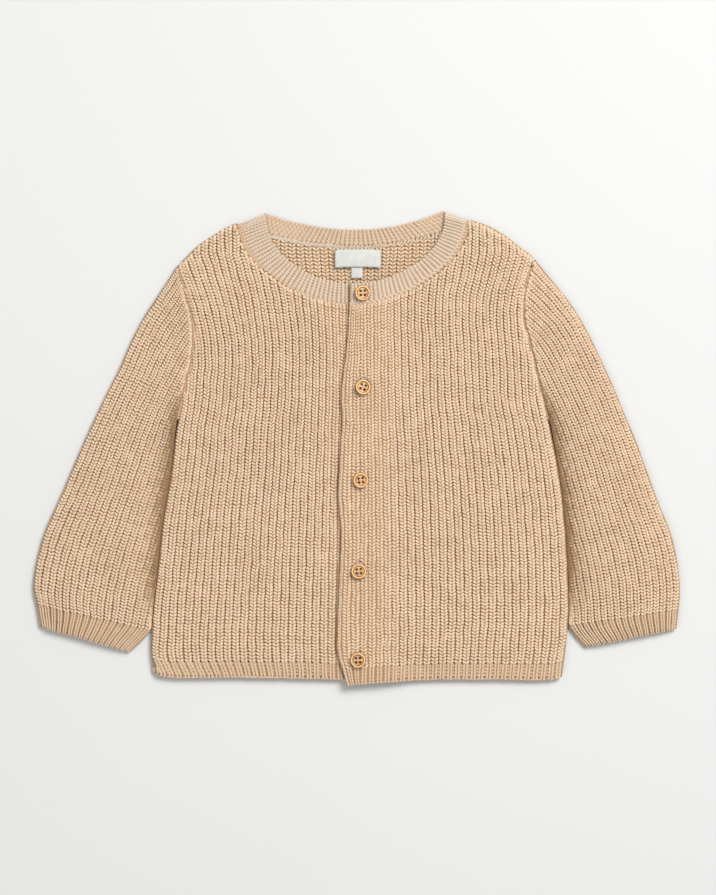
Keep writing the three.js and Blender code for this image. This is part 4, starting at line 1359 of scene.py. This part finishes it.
# %% Sleeve stitches
def sleeve_stitches(side):
    """All the stitches of a sleeve, as a list of pieces."""
    face = sleeve_face(side)
    steps, run = row_places(side)
    cuff_run = float(np.interp(CUFF_ROW, steps, run))
    turn = -SIGN[side]
    legs = {"left": Places(), "right": Places()}
    slim, seam = Places(), Places()

    def along(rib, start, stop):
        """Rows one course apart along a rib, as far as it reaches."""
        t = np.interp(np.arange(start, stop, COURSE), run, steps)
        ribs = SLEEVE[side].read("ribs", t)
        return t[(ribs > rib + 0.1) | ((t < UNDERARM_ROW - 2) & (ribs < rib - 0.1))]

    def add(places, surface, rib, t, sink, way=turn, by_edge=False):
        """Stitches down one rib, with painted shade of the fold by how near the body they lie."""
        # one unit of the row number is worth this many millimetres here
        pace = np.interp(t + 0.05, steps, run) - np.interp(t - 0.05, steps, run)
        tall = COURSE / np.maximum(pace / 0.1, 1)
        outer, inner, ribs, _ = sleeve_row(side, t)
        share = 0.0 if by_edge else np.clip(1 - rib / ribs, 0, 1)
        to_body = np.linalg.norm(inner - outer, axis=-1) * share
        # Painted shade: stronger the nearer a stitch lies to the body, and only between the rows
        # given.
        crease = np.exp(-to_body / CREASE_RUN) * ease(*CREASE_START, t) * (1 - ease(*CREASE_END, t))
        places.add(surface, rib, t, way, sink=sink, dv=0.02, tall=tall, crease=crease)

    for rib in np.arange(-0.5, 18, 1.0):
        for lean, way in (("left", 1), ("right", -1)):
            line = rib + way * SIGN[side] * LEG_APART
            t = along(line, cuff_run + COURSE / 2, run[-1] - 0.5)
            ribs = SLEEVE[side].read("ribs", t)
            over = (line > 0) & (ribs > line)
            add(legs[lean], face, line, t[over], 1.0)
            add(legs[lean], face, line, t[~over & (ribs > line - 1.2)], CORD_SINK)
    for rib in np.arange(-0.5, 18, 1.0):
        add(slim, face, rib, along(rib, COURSE * 0.7, cuff_run + 0.8), 1.4)

    def by_armhole(steps_in, t):
        outer, inner, ribs, _ = sleeve_row(side, t)
        length = np.linalg.norm(inner - outer, axis=-1)
        return face(ribs * (1 - SEAM_WIDE * steps_in / length), t)

    t = np.interp(np.arange(cuff_run + 2, run[-1] - 8, COURSE), run, steps)
    for part, sink in ((t > UNDERARM_ROW, 1.5), (t <= UNDERARM_ROW, 0.9)):
        add(seam, by_armhole, 0.3, t[part], sink, -turn, by_edge=True)
    name, seed = "sleeve_" + side, 31 if side == "left" else 36
    return [
        legs["left"].lay(name + "_left_legs", LEG["left"], YARN, 1.0, 0.1, seed, 0.45),
        legs["right"].lay(name + "_right_legs", LEG["right"], YARN, 1.0, 0.1, seed + 1, 0.45),
        slim.lay(name + "_cuff_ribs", SLIM, HEM_YARN, 0.95, 0.04, seed + 2),
        seam.lay(name + "_seam", SINGLE, YARN, 0.9, 0.08, seed + 3),
    ]


# %% [markdown]
# ## The neckband
# A narrow strip of fine rib is sewn round the neck. It starts under the top buttonhole, runs up
# each front, folds over at the shoulders, and passes along the back with its inside showing.
# A row of links and a line of sewing join it to the fronts, and a slanted chain to the back.
#
# A profile swept along a curve would twist where the strip folds over at the shoulders. So the
# strip has one running number q, its ribs counted from end to end, and each q knows its place
# on the seam and on the free edge.

# %% The strip, by one running number along it
BAND_WALL, BAND_WIDE, END_PITCH = 2.85, 13.7, 2.2
FRONT_RIBS, FOLD_RIBS, BACK_RIBS = 35, 3, 46
RIGHT_END, LEFT_END = -5.5, -1.2  # the ends run past the middle of the front
FOLD_A = FRONT_RIBS
BACK_A = FOLD_A + FOLD_RIBS
FOLD_B = BACK_A + BACK_RIBS
FRONT_B = FOLD_B + FOLD_RIBS
BAND_END = FRONT_B + FRONT_RIBS - LEFT_END
FOLD_HEIGHT = WALL + AIR / 2
CHAIN_SLANT = 5.0  # the chain under the back of the band leans by this many ribs a band height
print("ribs of the neckband", BAND_END - RIGHT_END)


def front_curve(line, side, rib):
    """A place on the seam or free edge of a front, by rib from the middle."""
    top_x, top_y = NECK_TOP[line, side]
    angle = np.clip(rib / FRONT_RIBS, 0, 1) * np.pi / 2
    power = 2 / ROUNDNESS[line]
    x = NECK_X + (top_x - NECK_X) * np.sin(angle) ** power
    y = top_y - (top_y - NECK_LOW[line]) * np.maximum(np.cos(angle), 0) ** power
    past_x = NECK_X + SIGN[side] * rib * END_PITCH
    past_y = neck_height(line, past_x)
    return np.where(rib < 0, past_x, x), np.where(rib < 0, past_y, y)


def back_curve(line, share):
    """The same along the back, from its right end at 0 to its left end at 1."""
    ends = NECK_TOP if line == "seam" else {(line, side): BACK_CORNER[side] for side in SIGN}
    (rx, ry), (lx, ly) = ends[line, "right"], ends[line, "left"]
    off = 2 * share - 1
    return blend(rx, lx, share), NECK_BACK[line] + (blend(ry, ly, share) - NECK_BACK[line]) * off**2


def band_line(line, q):
    """The same for the whole strip, by its running number."""
    right = front_curve(line, "right", q)
    left = front_curve(line, "left", FRONT_B + FRONT_RIBS - q)
    back = back_curve(line, np.clip((q - BACK_A) / BACK_RIBS, 0, 1))
    parts = [q < BACK_A, q > FOLD_B]
    return np.stack(
        [np.select(parts, [right[i], left[i]], back[i]) for i in (0, 1)], axis=-1
    )


def band_face(outside, thick=BAND_WALL):
    """Points of the strip; "across" is 0 at its seam and 1 at its free edge."""

    def face(q, across):
        seam, free = band_line("seam", q), band_line("free", q)
        plan = seam + (free - seam) * across[..., None]
        turn = np.clip((q - FOLD_A) / FOLD_RIBS, 0, 1) - np.clip((q - FOLD_B) / FOLD_RIBS, 0, 1)
        in_fold = ((q > FOLD_A) & (q < BACK_A)) | ((q > FOLD_B) & (q < FRONT_B))
        radius = AIR / 2 + (thick if outside else 0.0)
        along = unit(free - seam)
        outward = np.stack([-along[..., 1], along[..., 0]], axis=-1) * np.sign(along[..., :1])
        folded = plan + outward * (radius * np.sin(turn * np.pi))[..., None]
        fold_z = FOLD_HEIGHT + radius * np.cos(turn * np.pi)
        base = np.where(
            q > FOLD_B, lift_of("left", plan[..., 0]), np.full_like(q, LAYER)
        )
        front_z = base + (thick if outside else 0.0)
        back_z = np.full_like(q, FOLD_HEIGHT - radius)
        in_back = (q >= BACK_A) & (q <= FOLD_B)
        z = np.where(in_fold, fold_z, np.where(in_back, back_z, front_z))
        xy = np.where(in_fold[..., None], folded, plan)
        return np.concatenate([xy, z[..., None]], axis=-1)

    return face


# %% The cloth of the neckband
BAND_SUNK, BAND_GROOVE = 0.75, 0.6


def band_shell():
    """The cloth of the neckband, and its flat area."""
    q = np.concatenate([np.arange(RIGHT_END, BAND_END, 0.25), [BAND_END]])
    across = np.array([0, 0.04, 0.12, 0.3, 0.5, 0.7, 0.88, 0.96, 1.0])
    grid_across, grid_q = np.meshgrid(across, q)
    outer, inner = band_face(True)(grid_q, grid_across), band_face(False)(grid_q, grid_across)
    toward = unit(inner - outer)
    edge = 1 - rounded(np.minimum(grid_across, 1 - grid_across) * 12, 1.2)
    in_back = ((grid_q > BACK_A) & (grid_q < FOLD_B))[..., None]
    from_face = toward * (BAND_SUNK + BAND_SUNK * edge)[..., None]
    outer = np.where(in_back, outer, outer + from_face)
    inner = np.where(in_back, inner - from_face, inner)
    depth = BAND_GROOVE * (1 - edge)[..., None]
    # a whole number is added to keep rib numbers above 0; the grooves read only the fraction
    rib = np.where(grid_q > FOLD_B, grid_q - BAND_END + LEFT_END, grid_q) + 1000
    courses = grid_across * 6
    made = shell(
        "neckband_cloth", outer[::-1], inner[::-1], rib[::-1], courses[::-1],
        np.where(in_back, 0, toward * depth)[::-1], np.where(in_back, -toward * depth, 0)[::-1],
        face=BAND_GROUND,
    )
    return made, area_of(outer)


# %% [markdown]
# ## Stitches on the neckband
# The strip is finer than the body: seven small stitches from its seam to its free edge, and on
# the back, where its inside shows, five looser ones. The lines that join it are stitches too,
# which cover the gap between band and panel as the real seam does. A bump map could not.

# %% The stitches of the neckband
FRONT_HIGH, BACK_HIGH = 7, 5  # stitches from the seam to the free edge
SEWING_STEP, CHAIN_STEP = 0.7, 0.8  # ribs from one stitch to the next
LINKS_AT, SEWING_AT, CHAIN_AT = -0.05, -0.06, -0.13  # just outside the seam, in band heights
GAP_FROM, GAP_TO = 22.0, 100.0  # from here to the shoulders the cloth stands off the band


def band_stitches():
    """All the stitches of the neckband, as a list of pieces."""
    front, back, links, sewing, chain = (Places() for _ in range(5))

    def on_fronts(right_start, right_stop, left_start, left_stop, step):
        """Running numbers along both fronts, clear of the folds at the shoulders."""
        return np.concatenate(
            [np.arange(right_start, right_stop, step), np.arange(left_start, left_stop, step)]
        )

    def add(places, outside, q, count, turn):
        across = (np.arange(count) + 0.5) / count
        places.add(band_face(outside), q, across, turn, sink=0.85, dv=0.02, tall=1 / count)

    for q in on_fronts(RIGHT_END + 0.5, BACK_A - 0.3, FOLD_B + 0.5, BAND_END - 0.3, 1.0):
        add(front, True, q, FRONT_HIGH, -1)
    for q in np.arange(BACK_A + 0.5, FOLD_B, 1.0):
        add(back, False, q, BACK_HIGH, 1)
    q = on_fronts(RIGHT_END + 0.5, BACK_A, FOLD_B, BAND_END, 1.0)
    links.add(band_face(True), q, LINKS_AT, -1, sink=1.25, dv=0.02, tall=LINE_TALL)

    def by_seam(steps, q):
        return band_face(True)(q, SEWING_AT - steps * SEAM_WIDE / BAND_WIDE)

    q = on_fronts(RIGHT_END + 0.4, BACK_A - 0.3, FOLD_B + 0.4, BAND_END, SEWING_STEP)
    sewing.add(by_seam, 0.0, q, -1, sink=1.9, dv=0.02, tall=0.8)
    # a second line fills the place where the cloth stands off the band
    q = on_fronts(GAP_FROM, BACK_A - 0.3, FOLD_B + 0.4, GAP_TO, SEWING_STEP)
    sewing.add(by_seam, 0.6, q, -1, sink=1.75, dv=0.02, tall=0.8)

    def slanted(q, across):
        return band_face(False)(q + CHAIN_SLANT * (across + 0.12), across)

    q = np.arange(BACK_A + 0.6, FOLD_B - 0.4, CHAIN_STEP)
    chain.add(slanted, q, CHAIN_AT, 1, sink=0.5, dv=0.02, tall=LINE_TALL)
    return [
        front.lay("neckband_ribs", SINGLE, FINE_YARN, 0.65, 0.06, 41),
        back.lay("neckband_back_ribs", SINGLE, SHADED_INNER_YARN, 0.6, 0.06, 42),
        links.lay("neckband_links", SINGLE, HEM_YARN, 0.8, 0.1, 43),
        sewing.lay("neckband_sewing", SINGLE, SEAM_YARN, 0.8, 0.1, 45),
        chain.lay("neckband_chain", EDGING, FINE_YARN, 0.9, 0.1, 44),
    ]


# %% [markdown]
# ## Sewing the panels together
# Each panel takes the place of its solid in the frame and brings its stitches with it, because
# they are one cloth. The garment is laid, not worn, so every panel rests on the table or on the
# back. A simulation could settle them, but they already lie as the photograph shows.

# %% Making the cloth
def dress(node, cloth, flat, area, with_pieces):
    """Put a knitted panel and its stitches in the place of its CAD node."""
    for piece in [cloth, *with_pieces]:
        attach(piece, "root")
    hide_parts(node)
    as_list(with_pieces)
    print(node, "flat", flat, "area", round(area, 5))


back, back_area = back_shell()
dress("back", back, (0.271, 0.299), back_area, back_stitches())
for side in ("right", "left"):
    cloth, area = front_shell(side)
    dress("front_" + side, cloth, (0.150, 0.302), area, front_stitches(side))
    cloth, area = sleeve_shell(side)
    dress("sleeve_" + side, cloth, (0.190, 0.265), area, sleeve_stitches(side))
band, band_area = band_shell()
dress("neckband", band, (0.315, 0.0137), band_area, band_stitches())

# %% [markdown]
# ## Wooden buttons
# Each button is turned from light wood: a raised round rim, a dish, and four holes for thread,
# with two slim bars of pinkish thread crossing between them. A lathe makes the disc by sweeping
# a profile round an axis, and the holes are cut out with a Boolean, which keeps real depth in
# them; painted dots would stay flat. The UV map keeps the radius, so that light and shade can be
# painted on the wood: a painted highlight on the rim, painted shade in the ditch inside it and at
# its outer edge, and dark brown painted shade in the holes. One disc serves all five, turned and
# tipped a little differently, as buttons on thread are.

# %% Wood and thread
RIM, DITCH = 4.25, 3.45  # radii of the rim, which has a painted highlight, and of the ring of painted shade inside it


def wood_material():
    """Light wood with its grain, and a painted highlight and painted shade placed by the radius
    that the UV map holds.
    """
    material, tree, shader = new_material(
        "button_wood", linear(222, 172, 110), Roughness=0.38, Coat_Roughness=0.25,
    )
    where, radius = own_place(tree), own_uv(tree).part(0)
    along_grain = where.node(
        "ShaderNodeMapping", None, 0, Vector=where, Rotation=(0.0, 0.0, 0.6),
        Scale=(180.0, 1500.0, 900.0),
    )
    lines, broad = noise(along_grain, 1.0, 4.0, Distortion=0.4), noise(where, 160.0, 1.0)
    # Painted light on the wood: a highlight on the rim, shade in the ditch inside it, and a dark
    # line of shade round the outer edge.
    rim_highlight = (radius - RIM).size().clamped(0.0, 0.6, 0.5, 0.0)
    ditch_shade = (radius - DITCH).size().clamped(0.0, 0.4, 0.7, 0.0)
    outer_edge_shade = radius.clamped(4.65, 4.95, 0.0, 1.0)
    shade = (lines - 0.5) * 1.3 + (broad - 0.5) * 0.7 + 0.45 - rim_highlight + ditch_shade + outer_edge_shade
    wood = shade.clamped(0.0, 1.0).between(linear(240, 194, 134), linear(140, 82, 32))
    # painted shade: only the walls of the holes carry a number this large, and they are dark brown
    with_hole_shade = radius.clamped(6.0, 7.0).between(wood, linear(52, 18, 4))
    plug(tree, radius.clamped(6.0, 7.0, 0.4, 0.0), shader.inputs["Coat Weight"])
    plug_surface(tree, shader, with_hole_shade, lines, 0.25, 0.0001)
    return material


WOOD = wood_material()
THREAD = yarn_material("button_thread", (232, 196, 178), (206, 160, 140), 3.0, 0.2)

# %% A turned disc with four holes
BUTTON_PROFILE = [
    (0, 0), (3.6, 0), (4.5, 0.35), (4.95, 0.95), (5.05, 1.6), (4.9, 2.2), (4.5, 2.6),
    (4.1, 2.62), (3.75, 2.35), (3.5, 1.85), (3.2, 1.62), (2.5, 1.72), (0, 1.78),
]
HOLE, SPACING, ROUND = 0.88, 1.36, 56  # radius of a hole, its offset, and faces round the disc
INSIDE_HOLE = 9.0  # stands for a radius on the walls of the holes
BUTTON_SEAT = 3 * LAYER + 0.15  # a button rests on both fronts and the back


def lathe(name, profile, steps, radial=True):
    """A closed solid of revolution from (radius, height) points that start and end at 0.
    Its UV map holds the radius, or one number that marks the inside of a hole."""
    points = [(0, 0, profile[0][1])]
    for radius, height in profile[1:-1]:
        for i in range(steps):
            angle = 2 * np.pi * i / steps
            points.append((radius * np.cos(angle), radius * np.sin(angle), height))
    points.append((0, 0, profile[-1][1]))
    rings, last = len(profile) - 2, len(points) - 1
    faces = [(0, 1 + (i + 1) % steps, 1 + i) for i in range(steps)]
    for r in range(rings - 1):
        a, b = 1 + r * steps, 1 + (r + 1) * steps
        faces += [
            (a + i, a + (i + 1) % steps, b + (i + 1) % steps, b + i) for i in range(steps)
        ]
    a = 1 + (rings - 1) * steps
    faces += [(last, a + i, a + (i + 1) % steps) for i in range(steps)]
    uvs = [(np.hypot(x, y) if radial else INSIDE_HOLE, 0) for x, y, _ in points]
    return mesh_with_uv(name, points, uvs, faces)


def drilled_disc():
    """The disc of a button with its four holes cut through."""
    disc = bpy.data.objects.new("disc", lathe("disc", BUTTON_PROFILE, ROUND))
    pin = lathe("pin", [(0, -1), (HOLE, -1), (HOLE, 4), (0, 4)], 16, radial=False)
    bpy.context.collection.objects.link(disc)
    pins = []
    for x, y in ((1, 1), (1, -1), (-1, 1), (-1, -1)):
        one = bpy.data.objects.new("pin", pin.copy())
        one.data.transform(Matrix.Translation((x * SPACING, y * SPACING, 0)))
        bpy.context.collection.objects.link(one)
        cut = disc.modifiers.new("hole", "BOOLEAN")
        cut.operation, cut.solver, cut.object = "DIFFERENCE", "EXACT", one
        pins.append(one)
    shown = bpy.context.evaluated_depsgraph_get()
    mesh = bpy.data.meshes.new_from_object(disc.evaluated_get(shown), depsgraph=shown)
    for spare in (disc, *pins):
        bpy.data.objects.remove(spare)
    return mesh


def thread_bars():
    """Two slim crossed bars of thread that go down into the holes."""
    bars = []
    for x, lift in ((-SPACING, 1.66), (SPACING, 1.78)):
        points, uvs, faces = leg(
            (-0.6 * x, -0.6 * SPACING), (0.6 * x, 0.6 * SPACING), 0.24, 0.3, 0, 0
        )
        # a leg is made in shares of a rib and of a row, and comes back to millimetres here
        bars.append(([(px * WALE, py * COURSE, lift + pz) for px, py, pz in points], uvs, faces))
    return mesh_with_uv("button_thread", *joined(bars))


# %% Five buttons in their places
def place_buttons():
    """Lay a disc and its thread at each button's place."""
    disc, bars = drilled_disc(), thread_bars()
    print("button faces", len(disc.polygons))
    for number, at in enumerate(BUTTONS, 1):
        tip_x, tip_y = (np.radians(angle) for angle in at["tip"])
        centre = place([at["x"], at["y"], BUTTON_SEAT])
        moved = (
            Matrix.Translation(centre)
            @ Matrix.Rotation(tip_y, 4, "Y")
            @ Matrix.Rotation(tip_x, 4, "X")
            @ Matrix.Rotation(np.radians(at["turn"]), 4, "Z")
            @ Matrix.Scale(MM, 4)
        )
        for part, mesh, material in (("disc", disc, WOOD), ("thread", bars, THREAD)):
            copy = mesh.copy()
            copy.transform(moved)
            copy.materials.clear()
            copy.materials.append(material)
            piece = bpy.data.objects.new(f"button_{part}_{number}", copy)
            bpy.context.collection.objects.link(piece)
            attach(piece, "root")
        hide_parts(f"button_{number}")


place_buttons()

# %% [markdown]
# ## The two tapes in the neck
# A woven neck tape is sewn along its top edge, and a small size tape hangs from under it. Both
# are left blank. A cloth simulation could drape them, but strips this small hardly move, so they
# are thin closed strips that bow a little, with a loose lower edge and a fine woven rib.

# %% Woven tape
def tape_material():
    """Pale woven tape, with its threads as a fine bump."""
    material, tree, shader = new_material(
        "woven_tape", linear(220, 223, 220), Roughness=0.6, Sheen_Weight=0.2,
        Specular_IOR_Level=0.3,
    )
    where = own_place(tree)
    # a warp thread each 0.5 mm, and a weft thread each 0.3 mm
    weave = (where.part(0) * 12566.0).sine() * 0.5 + (where.part(1) * 20944.0).sine() * 0.5
    cloudy = noise(where, 300.0, 2.0)
    shade = (weave * 0.25 + cloudy).clamped(0.2, 1.0)
    colour = shade.between(linear(207, 207, 201), linear(186, 188, 182))
    plug_surface(tree, shader, colour, weave + cloudy, 0.35, 0.0001)
    return material


TAPE = tape_material()
TAPE_THICK = 0.45
LOOSE_EDGE = 0.6  # the lower edge stands this far off the cloth


def tape_piece(name, node, size, base, bow, sag):
    """A thin strip in its node's place. "bow" lifts its middle, "sag" lowers its corners."""
    u, v = np.meshgrid(np.linspace(-1, 1, 31), np.linspace(-1, 1, 13), indexing="ij")
    x = size["x"] + u * (size["wide"] / 2 - 0.15 * v**2)
    y = size["y"] + v * size["tall"] / 2 - sag * u**4
    z = base + bow * (1 - v**2) * (1 - u**4) + LOOSE_EDGE * (1 - v) / 2
    edge = 0.12 * np.maximum(np.abs(u), np.abs(v)) ** 12
    upper = np.stack([x, y, z + TAPE_THICK - edge], axis=-1)
    lower = np.stack([x, y, z], axis=-1)
    made = shell(name, upper, lower, u * 0, v * 0, 0.0)
    made.data.materials.clear()
    made.data.materials.append(TAPE)
    made.data.polygons.foreach_set(
        "material_index", np.zeros(len(made.data.polygons), dtype=np.int32)
    )
    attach(made, "root")
    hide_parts(node)
    return made


SIZE_TAG = {"x": -2.0, "y": 268.0, "wide": 7.4, "tall": 12.0}
neck_tape = tape_piece("neck_tape", "neck_label", LABEL, LAYER + 1.1, 0.35, 0.5)
size_tape = tape_piece("size_tape", "size_tag", SIZE_TAG, LAYER + 0.05, 0.2, 0.1)

# %% [markdown]
# ## Floor, light and camera
# The cardigan was photographed on a pale, even surface, in soft light from the upper right that
# leaves only a faint shadow. A picture of a sky could light it, but two square lamps and an even
# white world give the same softness and keep the direction easy to change. The camera looks
# straight down from far off, so that the cloth is seen without perspective, and one pixel of the
# photograph is 0.65 mm of the cardigan.

# %% Floor
def floor_material():
    """A pale matt surface that is a little uneven in tone."""
    material, tree, shader = new_material(
        "pale_floor", linear(238, 238, 235), Roughness=0.9, Specular_IOR_Level=0.1
    )
    soft = noise(own_place(tree), 3.0, 1.0)
    colour = soft.between(linear(212, 212, 210), linear(215, 215, 213))
    plug(tree, colour, shader.inputs["Base Color"])
    return material


floor_mesh = bpy.data.meshes.new("floor")
floor_mesh.from_pydata([(-3, -3, 0), (3, -3, 0), (3, 3, 0), (-3, 3, 0)], [], [(0, 1, 2, 3)])
floor_mesh.materials.append(floor_material())
floor = bpy.data.objects.new("floor", floor_mesh)
bpy.context.collection.objects.link(floor)
print("floor", tuple(floor.dimensions))


# %% Light
def add_light(name, at, size, watts):
    """A square lamp that is aimed at the middle of the cardigan."""
    lamp = bpy.data.lights.new(name, "AREA")
    lamp.shape, lamp.size, lamp.energy = "SQUARE", size, watts
    made = bpy.data.objects.new(name, lamp)
    made.location = at
    made.rotation_euler = (-Vector(at)).to_track_quat("-Z", "Y").to_euler()
    bpy.context.collection.objects.link(made)
    print(name, "lamp", watts, "W")


add_light("key", (1.0, 1.1, 2.05), 1.15, 62)
add_light("fill", (-1.2, -0.7, 2.0), 1.6, 10)
world = bpy.data.worlds.new("studio")
bpy.context.scene.world = world
world.use_nodes = True
world.node_tree.nodes["Background"].inputs[0].default_value = (1, 1, 1, 1)
world.node_tree.nodes["Background"].inputs[1].default_value = 0.46

# %% Camera
PHOTO_SCALE = 0.65  # millimetres of the cardigan to a pixel of the photograph
IMAGE = (716, 895)
CHART_ORIGIN = (360, 681)  # the pixel where the button line meets the hem
DISTANCE, SENSOR = 2.4, 24
CLOTH_HEIGHT = 0.008  # the scale is right at this height above the floor
centre = place([
    (IMAGE[0] / 2 - CHART_ORIGIN[0]) * PHOTO_SCALE,
    (CHART_ORIGIN[1] - IMAGE[1] / 2) * PHOTO_SCALE,
    0,
])
camera_data = bpy.data.cameras.new("camera")
camera_data.sensor_fit = "VERTICAL"
camera_data.sensor_height = SENSOR
camera_data.lens = SENSOR * (DISTANCE - CLOTH_HEIGHT) / (IMAGE[1] * PHOTO_SCALE * MM)
camera = bpy.data.objects.new("camera", camera_data)
camera.location = (centre[0], centre[1], DISTANCE)
bpy.context.collection.objects.link(camera)
bpy.context.scene.camera = camera
bpy.context.scene.view_settings.view_transform = "Standard"
print("lens", round(camera_data.lens, 1), "mm at", DISTANCE, "m")

# %% Finish
# the single stitches have been copied into every panel, and go
for spare in (*LEG.values(), *INSIDE_LEG.values(), SLIM, SINGLE, PURL, EDGING):
    bpy.data.objects.remove(spare)
